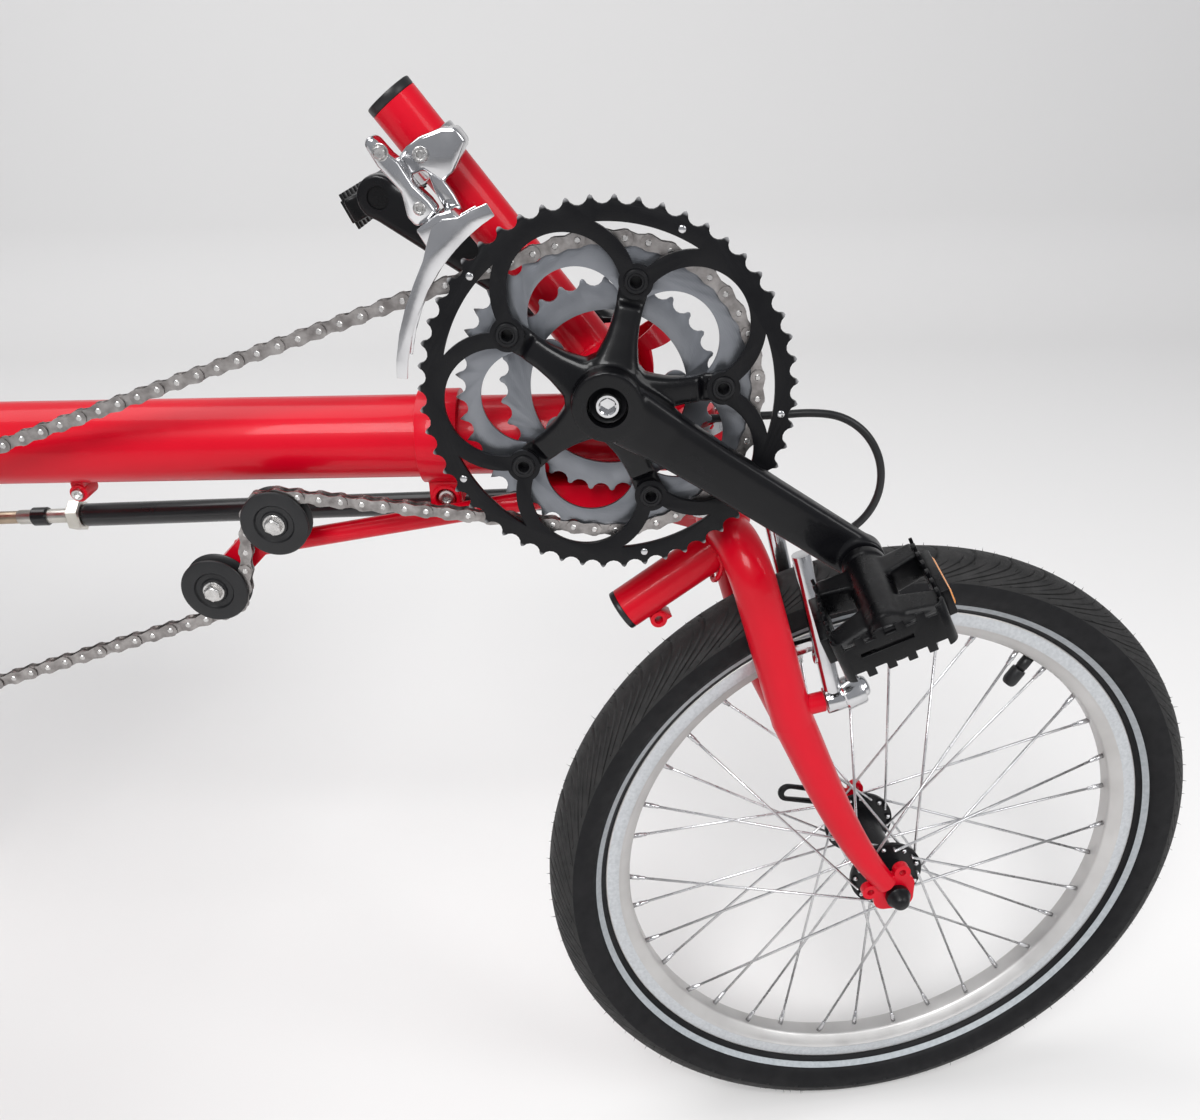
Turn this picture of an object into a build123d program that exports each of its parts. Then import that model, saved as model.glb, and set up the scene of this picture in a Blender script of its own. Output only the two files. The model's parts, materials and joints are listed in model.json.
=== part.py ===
from build123d import *

import os
from math import asin, atan2, cos, degrees, hypot, pi, radians, sin, tan

# A long-wheelbase recumbent bicycle with under-seat steering, in millimetres.
# It is laid out from the bottom bracket's centre: +X forward, +Y to the rider's left, +Z up.
# At export everything moves so that the rider's hip point on the seat is the origin.

# Frame tubes
MAIN_TUBE_R = 25.4
MAIN_TUBE_WALL = 0.9
MAIN_TUBE_Z = -39.6
MAIN_TUBE_FRONT_X = -112.0
MAIN_TUBE_REAR_X = -850.0
SLIDE_GAP = 0.3
BOOM_WALL = 1.6
BOOM_OVERLAP = 200.0
COLLAR_LENGTH = 25.0
COLLAR_WALL = 3.4
BB_SHELL_R = 20.0
BB_SHELL_WIDTH = 68.0
BB_BORE_R = 17.0
POST_R = 14.3
POST_WALL = 1.5
POST_TILT = 53.0
POST_LENGTH = 187.0
STUB_OFFSET = 27.0
STUB_LENGTH = 29.0
CAP_LENGTH = 5.0

# Steering column and fork
HEAD_ANGLE = 75.0
FORK_RAKE = 44.5
FRONT_HUB_X = 191.8
FRONT_HUB_Z = -381.5
STEER_REST = 8.6
HEAD_TUBE_R = 18.0
HEAD_TUBE_BORE_R = 15.0
HEAD_TUBE_TOP_Z = -39.0
HEAD_TUBE_BOTTOM_Z = -82.0
HEADSET_CUP_R = 19.5
HEADSET_CUP_HEIGHT = 7.0
STEERER_R = 12.7
LEG_R = 14.3
LEG_TIP_R = 8.0
LEG_SPREAD = 42.5
CROWN_Z = -104.0
FRONT_OLN = 100.0
DROPOUT_THICKNESS = 6.0
FORK_STUB_R = 14.0
FORK_STUB_LENGTH = 62.0
FORK_STUB_SLOPE = 32.6

# Steering linkage
ARM_LENGTH = 57.0
ARM_SWEEP = 29.0
ARM_THICKNESS = 8.0
ARM_WIDTH = 14.0
ARM_END_R = 8.5
ROD_LIFT = 3.0
ROD_LENGTH = 640.0
ROD_DROP = 12.0
ROD_R = 7.9
ROD_TUBE_LENGTH = 372.0
STUD_R = 5.0
THIN_ROD_R = 4.4
ROD_EYE_R = 10.0
ROD_EYE_HEIGHT = 12.0
PIVOT_BOLT_R = 5.0
FIT = 0.1
OPEN_PIVOT_GAP = 0.6

# Wheels
FRONT_RIM_R = 209.5
REAR_RIM_R = 286.0
TYRE_HEIGHT = 40.5
TYRE_WIDTH = 47.0
FRONT_TYRE_R = FRONT_RIM_R + TYRE_HEIGHT
REAR_TYRE_R = REAR_RIM_R + TYRE_HEIGHT
RIM_WIDTH = 25.0
RIM_DEPTH = 19.0
SPOKE_COUNT = 36
BRAKE_TRACK_R = 203.5
PAD_DIRECTION = 105.2
PAD_SIZE = (50.0, 7.0, 8.0)
PAD_CLEARANCE = 1.0
SPOKE_R = 1.0
SPOKE_INSIDE = 2.4
SPOKE_OUTSIDE = 4.4
FRONT_FLANGE_Y = 32.0
FRONT_FLANGE_R = 24.0
REAR_HUB_X = -1100.0
REAR_OLN = 135.0
REAR_FLANGE_LEFT_Y = 34.0
REAR_FLANGE_RIGHT_Y = -17.0
REAR_FLANGE_R = 29.0
AXLE_R = 4.5

# Drive
CHAIN_PITCH = 12.7
CHAIN_Y = -45.0
CHAIN_WIDTH = 6.6
CHAIN_HALF_HEIGHT = 4.3
CHAIN_WAIST = 3.3
CHAIN_GROOVE = 3.0
OUTER_TEETH = 52
MIDDLE_TEETH = 42
INNER_TEETH = 30
OUTER_RING_Y = -52.0
INNER_RING_Y = -38.0
RING_THICKNESS = 3.2
TOOTH_THICKNESS = 2.0
TOOTH_HEIGHT = 4.4
BOLT_CIRCLE_R = 65.0
SPIDER_PHASE = 3.0
CRANK_LENGTH = 170.0
CRANK_ANGLE = -32.0
CRANK_FACE_Y = -75.0
PEDAL_FACE_Y = -88.0
PEDAL_WIDTH = 96.0
PEDAL_ANGLE = 25.0
COG_TEETH = (11, 13, 15, 18, 21, 24, 28, 32)
COG_PITCH = 4.8
COG_THICKNESS = 1.8
CHAIN_COG = 3
IDLER_R = 20.5
IDLER_HUB_R = 15.8
UPPER_IDLER = (-203.0, -76.0)
LOWER_IDLER = (-248.0, -120.0)
PULLEY_R = 20.5
TENSION_PULLEY = (-1044.0, -361.0)
GUIDE_PULLEY = (-1096.0, -372.0)

# Seat and handlebar
SEAT_REAR_X = -815.0
SEAT_TOP_Z = 52.0
SEAT_LENGTH = 300.0
SEAT_WIDTH = 390.0
SEAT_PAD = 42.0
BACK_LENGTH = 560.0
BACK_ANGLE = 56.0
BACK_PAD = 40.0
SEAT_TUBE_R = 9.5
BAR_R = 11.1
BAR_HALF_WIDTH = 270.0
GRIP_LENGTH = 125.0
GRIP_R = 16.0

FRONT_GROUND_Z = FRONT_HUB_Z - FRONT_TYRE_R
REAR_HUB_Z = FRONT_GROUND_Z + REAR_TYRE_R
HIP_POINT = (SEAT_REAR_X + 10.0, 0.0, SEAT_TOP_Z)


# Places

def polar(radius, angle):
    return radius * cos(radians(angle)), radius * sin(radians(angle))


STEER_UP = Vector(-cos(radians(HEAD_ANGLE)), 0, sin(radians(HEAD_ANGLE)))
STEER_OUT = Vector(sin(radians(HEAD_ANGLE)), 0, cos(radians(HEAD_ANGLE)))
LEFT = Vector(0, 1, 0)
FRONT_HUB = Vector(FRONT_HUB_X, 0, FRONT_HUB_Z)
REAR_HUB = Vector(REAR_HUB_X, 0, REAR_HUB_Z)
STEER_FOOT = FRONT_HUB - STEER_OUT * FORK_RAKE
BOOM_R = MAIN_TUBE_R - MAIN_TUBE_WALL - SLIDE_GAP
POST_UP = Vector(-cos(radians(POST_TILT)), 0, sin(radians(POST_TILT)))
POST_FORWARD = Vector(sin(radians(POST_TILT)), 0, cos(radians(POST_TILT)))


def on_steer_axis(z):
    return STEER_FOOT + STEER_UP * ((z - STEER_FOOT.Z) / STEER_UP.Z)


STEER_AXIS = Axis(STEER_FOOT, STEER_UP)
ROD_SHIFT = Vector(-ROD_LENGTH, 0, -ROD_DROP)
BAR_AXIS = Axis(STEER_FOOT + ROD_SHIFT, STEER_UP)
ARM_VECTOR = LEFT * (ARM_LENGTH * cos(radians(ARM_SWEEP))) - STEER_OUT * (ARM_LENGTH * sin(radians(ARM_SWEEP)))


# Building blocks

def rod(start, end, radius):
    start, end = Vector(*start), Vector(*end)
    along = end - start
    plane = Plane(origin=start, z_dir=along)
    return plane * Cylinder(radius, along.length, align=(Align.CENTER, Align.CENTER, Align.MIN))


def pipe(start, end, radius, wall):
    return rod(start, end, radius) - rod(start, end, radius - wall)


def bent_tube(points, bends, radius):
    path = FilletPolyline(*points, radius=bends)
    return sweep(Plane(origin=path @ 0, z_dir=path % 0) * Circle(radius), path=path)


def wheel_disc(x, z, y_right, y_left, radius, bore=0.0):
    disc = rod((x, y_right, z), (x, y_left, z), radius)
    if bore:
        disc -= rod((x, y_right - 1, z), (x, y_left + 1, z), bore)
    return disc


def plate(sketch, y_right, y_left):
    return extrude(Plane.XZ.offset(-y_left) * sketch, amount=y_left - y_right)


def mirrored(shape):
    return shape + mirror(shape, about=Plane.XZ)


def pair(shape):
    return Compound(children=[shape, mirror(shape, about=Plane.XZ)])


def steered(shape):
    return shape.rotate(STEER_AXIS, STEER_REST)


def bar_steered(shape):
    return shape.rotate(BAR_AXIS, STEER_REST)


def revolved(profile, centre):
    # The profile lists (radius, y) corners, and turns about a Y axis through the centre.
    outline = make_face(Polyline(*[(radius, y) for radius, y in profile], close=True))
    plane = Plane(origin=(centre.X, 0, centre.Z), x_dir=(1, 0, 0), z_dir=(0, 0, 1))
    return revolve(plane * outline, axis=Axis((centre.X, 0, centre.Z), (0, 1, 0)))


# Frame

def main_tube():
    rear = (MAIN_TUBE_REAR_X, 0, MAIN_TUBE_Z)
    front = (MAIN_TUBE_FRONT_X, 0, MAIN_TUBE_Z)
    tube = pipe(rear, front, MAIN_TUBE_R, MAIN_TUBE_WALL)
    boss_z = MAIN_TUBE_Z - MAIN_TUBE_R - 6.0
    boss = wheel_disc(-338.0, boss_z, -8.0, 8.0, 5.5)
    neck = Pos(-338.0, 0, boss_z + 6.0) * Box(8, 14, 8)
    bore = wheel_disc(-338.0, boss_z, -9.0, 9.0, 3.0)
    hollow = rod(rear, front, MAIN_TUBE_R - MAIN_TUBE_WALL)
    return tube + boss + (neck - hollow) - bore


def boom():
    start = (MAIN_TUBE_FRONT_X - BOOM_OVERLAP, 0, MAIN_TUBE_Z)
    column = on_steer_axis(MAIN_TUBE_Z)
    end = (column.X, 0, MAIN_TUBE_Z)
    head_low = on_steer_axis(HEAD_TUBE_BOTTOM_Z)
    head_top = on_steer_axis(HEAD_TUBE_TOP_Z)
    shell = wheel_disc(0, 0, -BB_SHELL_WIDTH / 2, BB_SHELL_WIDTH / 2, BB_SHELL_R)
    post = rod((0, 0, 0), POST_UP * POST_LENGTH, POST_R)
    stub_foot = POST_FORWARD * STUB_OFFSET - POST_UP * 22.0
    stub_end = POST_FORWARD * STUB_OFFSET + POST_UP * (STUB_LENGTH - 22.0)
    stub = rod(stub_foot, stub_end, POST_R)
    body = rod(start, end, BOOM_R) + rod(head_low, head_top, HEAD_TUBE_R) + shell + post + stub
    above_head = rod(head_top, head_top + STEER_UP * 60.0, HEADSET_CUP_R + 1.5)
    hollow = rod(start, (column.X - HEAD_TUBE_R - 3.0, 0, MAIN_TUBE_Z), BOOM_R - BOOM_WALL)
    body -= hollow
    body -= above_head
    body -= rod(head_low - STEER_UP * 5.0, head_top + STEER_UP * 5.0, HEAD_TUBE_BORE_R)
    body -= wheel_disc(0, 0, -BB_SHELL_WIDTH, BB_SHELL_WIDTH, BB_BORE_R)
    body -= rod(POST_UP * (BB_SHELL_R + 4.0), POST_UP * (POST_LENGTH + 1.0), POST_R - POST_WALL)
    body -= rod(stub_end - POST_UP * 16.0, stub_end + POST_UP, POST_R - POST_WALL)
    return body


def post_cap():
    seat = POST_UP * POST_LENGTH
    disc = rod(seat, seat + POST_UP * CAP_LENGTH, POST_R)
    plug = rod(seat - POST_UP * 12.0, seat, POST_R - POST_WALL - SLIDE_GAP)
    return disc + plug


def boom_clamp():
    low_x = MAIN_TUBE_FRONT_X - 6.0
    high_x = low_x + COLLAR_LENGTH
    outer_r = MAIN_TUBE_R + COLLAR_WALL
    lug_z = MAIN_TUBE_Z - MAIN_TUBE_R - 12.0
    ring = rod((low_x, 0, MAIN_TUBE_Z), (high_x, 0, MAIN_TUBE_Z), outer_r)
    lug = Pos((low_x + high_x) / 2, 0, lug_z + 6.0) * Box(COLLAR_LENGTH - 5.0, 24.0, 22.0)
    barrel = wheel_disc((low_x + high_x) / 2, lug_z, -13.0, 13.0, 9.0)
    body = ring + lug + barrel
    body -= rod((low_x - 1, 0, MAIN_TUBE_Z), (MAIN_TUBE_FRONT_X, 0, MAIN_TUBE_Z), MAIN_TUBE_R + SLIDE_GAP)
    body -= rod((MAIN_TUBE_FRONT_X, 0, MAIN_TUBE_Z), (high_x + 1, 0, MAIN_TUBE_Z), BOOM_R + SLIDE_GAP)
    body -= wheel_disc((low_x + high_x) / 2, lug_z, -20.0, -6.0, 6.5)
    body -= Pos((low_x + high_x) / 2, 0, lug_z) * Box(COLLAR_LENGTH + 2, 2.0, 46.0)
    return body


def rear_frame():
    beam_end = MAIN_TUBE_REAR_X - 14.0
    strut_top = (-700.0, 0, MAIN_TUBE_Z - MAIN_TUBE_R + 1.0)
    low_bridge = (-752.0, 0, -222.0)
    body = rod((beam_end, -62, MAIN_TUBE_Z), (beam_end, 62, MAIN_TUBE_Z), 15.0)
    body += rod(strut_top, low_bridge, 15.9)
    body += rod((low_bridge[0], -62, low_bridge[2]), (low_bridge[0], 62, low_bridge[2]), 14.0)
    stay_y = REAR_OLN / 2 + DROPOUT_THICKNESS / 2
    for side in (-1, 1):
        drop = (REAR_HUB_X, side * stay_y, REAR_HUB_Z)
        upper_end = (REAR_HUB_X + 18.0, side * stay_y, REAR_HUB_Z + 22.0)
        lower_end = (REAR_HUB_X + 26.0, side * stay_y, REAR_HUB_Z + 6.0)
        body += rod((beam_end, side * 62.0, MAIN_TUBE_Z), upper_end, 9.5)
        body += rod((low_bridge[0], side * 62.0, low_bridge[2]), lower_end, 9.5)
        for end, radius in ((upper_end, 9.5), (lower_end, 9.5)):
            body += Pos(*end) * Sphere(radius)
        low, high = stay_y - DROPOUT_THICKNESS / 2, stay_y + DROPOUT_THICKNESS / 2
        tab = Pos(REAR_HUB_X + 6.0, REAR_HUB_Z + 4.0) * RectangleRounded(58.0, 52.0, 12.0)
        if side < 0:
            tab += Pos(REAR_HUB_X + 4.0, REAR_HUB_Z - 30.0) * RectangleRounded(24.0, 36.0, 8.0)
            body += plate(tab, -high, -low)
        else:
            body += plate(tab, low, high)
        body -= wheel_disc(REAR_HUB_X, REAR_HUB_Z, side * stay_y - 20.0, side * stay_y + 20.0, AXLE_R + 0.5)
    main_outer = rod((MAIN_TUBE_REAR_X - 0.0, 0, MAIN_TUBE_Z), (-600.0, 0, MAIN_TUBE_Z), MAIN_TUBE_R)
    return body - main_outer


def headset():
    top = on_steer_axis(HEAD_TUBE_TOP_Z)
    bottom = on_steer_axis(HEAD_TUBE_BOTTOM_Z)
    upper = rod(top, top + STEER_UP * HEADSET_CUP_HEIGHT, HEADSET_CUP_R)
    lower = rod(bottom - STEER_UP * HEADSET_CUP_HEIGHT, bottom, HEADSET_CUP_R)
    bore = rod(bottom - STEER_UP * 20.0, top + STEER_UP * 20.0, STEERER_R + FIT)
    return Compound(children=[upper - bore, lower - bore])


def bottom_bracket():
    cups = []
    for side in (-1, 1):
        face = side * BB_SHELL_WIDTH / 2
        outer = side * (BB_SHELL_WIDTH / 2 + 3.0)
        inner = side * (BB_SHELL_WIDTH / 2 - 20.0)
        flange = rod((0, face, 0), (0, outer, 0), BB_SHELL_R - 1.0)
        cup = flange + rod((0, inner, 0), (0, face, 0), BB_BORE_R - FIT)
        cups.append(cup - rod((0, inner - side, 0), (0, outer + side, 0), 8.5 + FIT))
    return Compound(children=cups)


# Drive

def tangent_direction(first, second):
    (x1, z1, r1, turn1), (x2, z2, r2, turn2) = first, second
    span = hypot(x2 - x1, z2 - z1)
    return atan2(z2 - z1, x2 - x1) - asin((turn1 * r1 - turn2 * r2) / span)


def pitch_radius(teeth):
    return CHAIN_PITCH / (2 * sin(pi / teeth))


def chain_circles():
    # Each row: centre x, centre z, pitch radius, turn (1 clockwise seen from the right side, -1 the other way)
    return (
        (0.0, 0.0, pitch_radius(MIDDLE_TEETH), 1),
        (UPPER_IDLER[0], UPPER_IDLER[1], IDLER_R, -1),
        (LOWER_IDLER[0], LOWER_IDLER[1], IDLER_R, 1),
        (TENSION_PULLEY[0], TENSION_PULLEY[1], PULLEY_R, 1),
        (GUIDE_PULLEY[0], GUIDE_PULLEY[1], PULLEY_R, -1),
        (REAR_HUB_X, REAR_HUB_Z, pitch_radius(COG_TEETH[CHAIN_COG]), 1),
    )


def chain_path():
    # The loop as pieces: ("line", start, end, length) or ("arc", centre, radius, start angle, sweep, length).
    circles = chain_circles()
    count = len(circles)
    directions = [tangent_direction(circles[i], circles[(i + 1) % count]) for i in range(count)]
    pieces = []
    for i in range(count):
        x, z, radius, turn = circles[i]
        arrive, leave = directions[i - 1], directions[i]
        start = arrive + turn * pi / 2
        sweep_angle = (turn * (arrive - leave)) % (2 * pi)
        pieces.append(("arc", (x, z), radius, start, -turn * sweep_angle, radius * sweep_angle))
        x2, z2, radius2, turn2 = circles[(i + 1) % count]
        normal = (-sin(leave), cos(leave))
        p1 = (x + turn * radius * normal[0], z + turn * radius * normal[1])
        p2 = (x2 + turn2 * radius2 * normal[0], z2 + turn2 * radius2 * normal[1])
        pieces.append(("line", p1, p2, hypot(p2[0] - p1[0], p2[1] - p1[1])))
    return pieces


def chain_point(pieces, distance):
    for piece in pieces:
        length = piece[-1]
        if distance <= length:
            if piece[0] == "line":
                (x1, z1), (x2, z2) = piece[1], piece[2]
                part = distance / length
                return x1 + part * (x2 - x1), z1 + part * (z2 - z1)
            (x, z), radius, start, swept = piece[1:5]
            angle = start + swept * distance / length
            return x + radius * cos(angle), z + radius * sin(angle)
        distance -= length
    return chain_point(pieces, 0.0)


def chain():
    pieces = chain_path()
    total = sum(piece[-1] for piece in pieces)
    links = 2 * round(total / CHAIN_PITCH / 2)
    pins = [chain_point(pieces, total * i / links) for i in range(links)]
    outer, inner = [], []
    for i in range(links):
        before, here, after = pins[i - 1], pins[i], pins[(i + 1) % links]
        for point, heading_from, heading_to, half in (
            (here, before, after, CHAIN_HALF_HEIGHT),
            (((here[0] + after[0]) / 2, (here[1] + after[1]) / 2), here, after, CHAIN_WAIST),
        ):
            heading = atan2(heading_to[1] - heading_from[1], heading_to[0] - heading_from[0])
            side = (-sin(heading) * half, cos(heading) * half)
            outer.append((point[0] + side[0], point[1] + side[1]))
            inner.append((point[0] - side[0], point[1] - side[1]))
    band = make_face(Polyline(*outer, close=True)) - make_face(Polyline(*inner, close=True))
    loop = plate(band, CHAIN_Y - CHAIN_WIDTH / 2, CHAIN_Y + CHAIN_WIDTH / 2)
    low, high = CHAIN_Y - CHAIN_GROOVE / 2, CHAIN_Y + CHAIN_GROOVE / 2
    for x, z, teeth in ((0.0, 0.0, MIDDLE_TEETH), (REAR_HUB_X, REAR_HUB_Z, COG_TEETH[CHAIN_COG])):
        loop -= wheel_disc(x, z, low, high, pitch_radius(teeth) + TOOTH_HEIGHT + 1.0)
    return loop


def toothed_disc(teeth):
    pitch_r = pitch_radius(teeth)
    tip, root = pitch_r + TOOTH_HEIGHT, pitch_r - 3.6
    step = 360.0 / teeth
    # Each row: radius, share of a tooth step from the tooth's middle
    outline = ((root, -0.34), (tip, -0.09), (tip, 0.09), (root, 0.34))
    corners = [polar(radius, (i + part) * step) for i in range(teeth) for radius, part in outline]
    return make_face(Polyline(*corners, close=True))


def bolt_holes(radius, hole_r):
    return Sketch() + [Pos(*polar(radius, SPIDER_PHASE + 72 * i)) * Circle(hole_r) for i in range(5)]


def outer_chainring():
    rim_r = 86.0
    body = toothed_disc(OUTER_TEETH) - Circle(rim_r)
    for i in range(5):
        angle = SPIDER_PHASE + 72 * i
        tab = Circle(8.5)
        fork = Sketch()
        for lean in (-58, 58):
            arm = Pos(14.0, 0) * Rectangle(34.0, 7.0)
            fork += Rot(0, 0, lean) * arm
        piece = Rot(0, 0, angle) * Pos(BOLT_CIRCLE_R, 0) * (tab + fork)
        body += piece & Circle(rim_r + 2.0)
    body -= bolt_holes(BOLT_CIRCLE_R, 5.1)
    half = RING_THICKNESS / 2
    return plate(body, OUTER_RING_Y - half, OUTER_RING_Y + half)


def inner_chainrings():
    return Compound(children=[middle_ring(), small_ring()])


def middle_ring():
    body = toothed_disc(MIDDLE_TEETH) - Circle(66.5)
    for i in range(5):
        angle = SPIDER_PHASE + 72 * i
        body += Rot(0, 0, angle) * Pos(BOLT_CIRCLE_R, 0) * Circle(8.5)
    body -= bolt_holes(BOLT_CIRCLE_R, 5.1)
    half = TOOTH_THICKNESS / 2
    return plate(body, CHAIN_Y - half, CHAIN_Y + half)


def small_ring():
    body = toothed_disc(INNER_TEETH) - Circle(44.0)
    for i in range(5):
        body += Rot(0, 0, SPIDER_PHASE + 72 * i) * Pos(39.0, 0) * RectangleRounded(20.0, 14.0, 5.0)
    body -= bolt_holes(37.0, 4.1)
    half = TOOTH_THICKNESS / 2
    return plate(body, INNER_RING_Y - half, INNER_RING_Y + half)


def spider():
    inner_y, outer_y = CHAIN_Y + TOOTH_THICKNESS / 2, OUTER_RING_Y + RING_THICKNESS / 2
    inner_y, outer_y = -46.0, -50.4
    hub = Circle(21.0)
    arms = Sketch()
    for i in range(5):
        shape = make_face(Polyline((12, -10), (56, -7), (73, -8), (73, 8), (56, 7), (12, 10), close=True))
        arms += Rot(0, 0, SPIDER_PHASE + 72 * i) * shape
    web = plate(hub + arms - Circle(10.0), outer_y, inner_y)
    for i in range(5):
        x, z = polar(BOLT_CIRCLE_R, SPIDER_PHASE + 72 * i)
        web -= wheel_disc(x, z, outer_y - 1, inner_y + 1, 5.1)
    return web


def crank_arm(side):
    # side is -1 on the right, and 1 on the left, where the arm points the other way.
    angle = CRANK_ANGLE if side < 0 else CRANK_ANGLE + 180.0
    eye_x, eye_z = polar(CRANK_LENGTH, angle)
    face_y, end_y = side * abs(CRANK_FACE_Y), side * abs(PEDAL_FACE_Y)
    root_y, end_root_y = side * 50.0, side * (abs(PEDAL_FACE_Y) - 13.0)
    outline = [(0, root_y), (0, face_y), (CRANK_LENGTH, end_y), (CRANK_LENGTH, end_root_y)]
    side_view = make_face(Polyline((-20, root_y), (-20, face_y), (30, face_y), (CRANK_LENGTH + 14, end_y),
                                   (CRANK_LENGTH + 14, end_root_y), (34, side * 58.0), (26, root_y), close=True))
    slab = extrude(side_view, amount=25.0, both=True)
    top_view = Circle(20.0) + Pos(CRANK_LENGTH, 0) * Circle(13.5)
    top_view += make_face(Polyline((0, -19.0), (60, -13.5), (CRANK_LENGTH, -13.0), (CRANK_LENGTH, 13.0),
                                   (60, 13.5), (0, 19.0), close=True))
    column = plate(top_view, -100.0, 100.0)
    body = (slab & column)
    body -= wheel_disc(CRANK_LENGTH, 0, -120.0, 120.0, 7.0 + FIT)
    body -= wheel_disc(0, 0, -120.0, 120.0, 8.0 + FIT)
    body -= wheel_disc(0, 0, min(side * 66.0, side * 90.0), max(side * 66.0, side * 90.0), 11.5)
    return body.rotate(Axis.Y, -angle)


def right_crank():
    arm = crank_arm(-1)
    arm += spider()
    return arm


def bolts():
    pieces = []
    for i in range(5):
        x, z = polar(BOLT_CIRCLE_R, SPIDER_PHASE + 72 * i)
        head = wheel_disc(x, z, -55.0, -53.6, 6.5) + wheel_disc(x, z, -53.6, -44.0, 5.0)
        nut = wheel_disc(x, z, -44.0, -42.8, 6.5)
        post = wheel_disc(*polar(37.0, SPIDER_PHASE + 72 * i), -46.0, -36.0, 4.0)
        pieces.extend([head + nut, post])
    return Compound(children=pieces)


def crank_axle():
    shaft = rod((0, -66.0, 0), (0, 66.0, 0), 8.0)
    for side in (-1, 1):
        shaft += rod((0, side * 66.0, 0), (0, side * abs(CRANK_FACE_Y + 2.0), 0), 8.0)
    return shaft


def pedal(side):
    angle = CRANK_ANGLE if side < 0 else CRANK_ANGLE + 180.0
    x, z = polar(CRANK_LENGTH, angle)
    near = abs(PEDAL_FACE_Y) + 1.0
    start, end = side * near, side * (near + PEDAL_WIDTH)
    low, high = min(start, end), max(start, end)
    spindle = rod((0, side * (abs(PEDAL_FACE_Y) - 12.0), 0), (0, end - side * 8.0, 0), 7.0)
    barrel = rod((0, side * (near + 6.0), 0), (0, end - side * 4.0, 0), 12.0)
    body = spindle + barrel
    middle = (low + high) / 2
    for edge in (-1, 1):
        cage = Pos(edge * 36.0, middle, 0) * Box(2.6, PEDAL_WIDTH - 22.0, 26.0)
        notch = Pos(edge * 36.0, middle, 13.0) * Box(4.0, 22.0, 10.0)
        body += cage - notch
    for y in (side * (near + 14.0), end - side * 12.0):
        body += Pos(0, y, 0) * Box(72.0, 8.0, 12.0)
    return body.rotate(Axis.Y, -PEDAL_ANGLE).moved(Location((x, 0, z)))


def idler(place):
    x, z = place
    half = CHAIN_WIDTH / 2 + 0.8
    hub = wheel_disc(x, z, CHAIN_Y - half, CHAIN_Y + half, IDLER_HUB_R)
    flanges = wheel_disc(x, z, CHAIN_Y - half - 2.0, CHAIN_Y - half, IDLER_R)
    flanges += wheel_disc(x, z, CHAIN_Y + half, CHAIN_Y + half + 2.0, IDLER_R)
    return hub + flanges - wheel_disc(x, z, CHAIN_Y - 20, CHAIN_Y + 20, 4.0 + FIT)


def idler_arm():
    clamp_x = -14.0
    clamp_z = MAIN_TUBE_Z - BOOM_R
    end_x, end_z, arm_y = -240.0, -106.0, -20.0
    tube = rod((end_x, arm_y, end_z), (clamp_x, arm_y, -70.0), 6.3)
    bracket = Pos(clamp_x, arm_y / 2, clamp_z - 8.0) * Box(60.0, 34.0, 16.0)
    bracket -= rod((-80, 0, MAIN_TUBE_Z), (60, 0, MAIN_TUBE_Z), BOOM_R + SLIDE_GAP)
    carrier = Sketch()
    for place in (UPPER_IDLER, LOWER_IDLER):
        carrier += Pos(*place) * Circle(9.0)
    middle = ((UPPER_IDLER[0] + LOWER_IDLER[0]) / 2, (UPPER_IDLER[1] + LOWER_IDLER[1]) / 2)
    lean = degrees(atan2(UPPER_IDLER[1] - LOWER_IDLER[1], UPPER_IDLER[0] - LOWER_IDLER[0]))
    span = hypot(UPPER_IDLER[0] - LOWER_IDLER[0], UPPER_IDLER[1] - LOWER_IDLER[1])
    carrier += Pos(*middle) * Rot(0, 0, lean) * Rectangle(span, 18.0)
    plate_y = CHAIN_Y + CHAIN_WIDTH / 2 + 0.8 + 2.0 + 1.0
    body = tube + bracket + plate(carrier, plate_y, -19.0)
    for x, z in (UPPER_IDLER, LOWER_IDLER):
        body += wheel_disc(x, z, -55.0, plate_y, 4.0)
    return body


def front_derailleur():
    centre = POST_UP * 138.0
    band = rod(centre - POST_UP * 9.0, centre + POST_UP * 9.0, POST_R + 4.0)
    band -= rod(centre - POST_UP * 10.0, centre + POST_UP * 10.0, POST_R + SLIDE_GAP)
    back = POST_FORWARD * -1
    block = Plane(origin=centre + back * 18.0 + Vector(0, -12, 0), x_dir=POST_UP, z_dir=(0, -1, 0)) * Box(18, 14, 16)
    block -= rod(centre - POST_UP * 30.0, centre + POST_UP * 30.0, POST_R + SLIDE_GAP)
    body = band + block
    link_top = centre + back * 16.0 + Vector(0, -20, 0)
    link_low = centre - POST_UP * 34.0 + back * 16.0 + Vector(0, -32, 0)
    body += rod(link_top, link_low, 6.0)
    inner_r = pitch_radius(OUTER_TEETH) + TOOTH_HEIGHT + 2.0
    arc_from, arc_to = 118.0, 176.0
    cage = make_face(
        Polyline(
            *[polar(inner_r, a) for a in (arc_from, 126, 134, 142, 150, 158, 166, arc_to)],
            *[polar(inner_r + w, a) for a, w in ((arc_to, 7), (166, 7.5), (158, 9), (150, 12), (142, 15), (134, 19), (126, 22), (arc_from, 18))],
            close=True,
        )
    )
    body += plate(cage, CHAIN_Y - 7.5, CHAIN_Y - 6.0)
    body += plate(cage, CHAIN_Y + 6.0, CHAIN_Y + 7.5)
    for a, w in ((arc_from + 3, 15), (arc_to - 4, 4.5)):
        x, z = polar(inner_r + w, a)
        body += wheel_disc(x, z, CHAIN_Y - 7.0, CHAIN_Y + 7.0, 2.0)
    knuckle_x, knuckle_z = polar(inner_r + 14.0, 130)
    body += rod((link_low.X, link_low.Y, link_low.Z), (knuckle_x, CHAIN_Y + 6.5, knuckle_z), 5.0)
    return body


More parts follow.
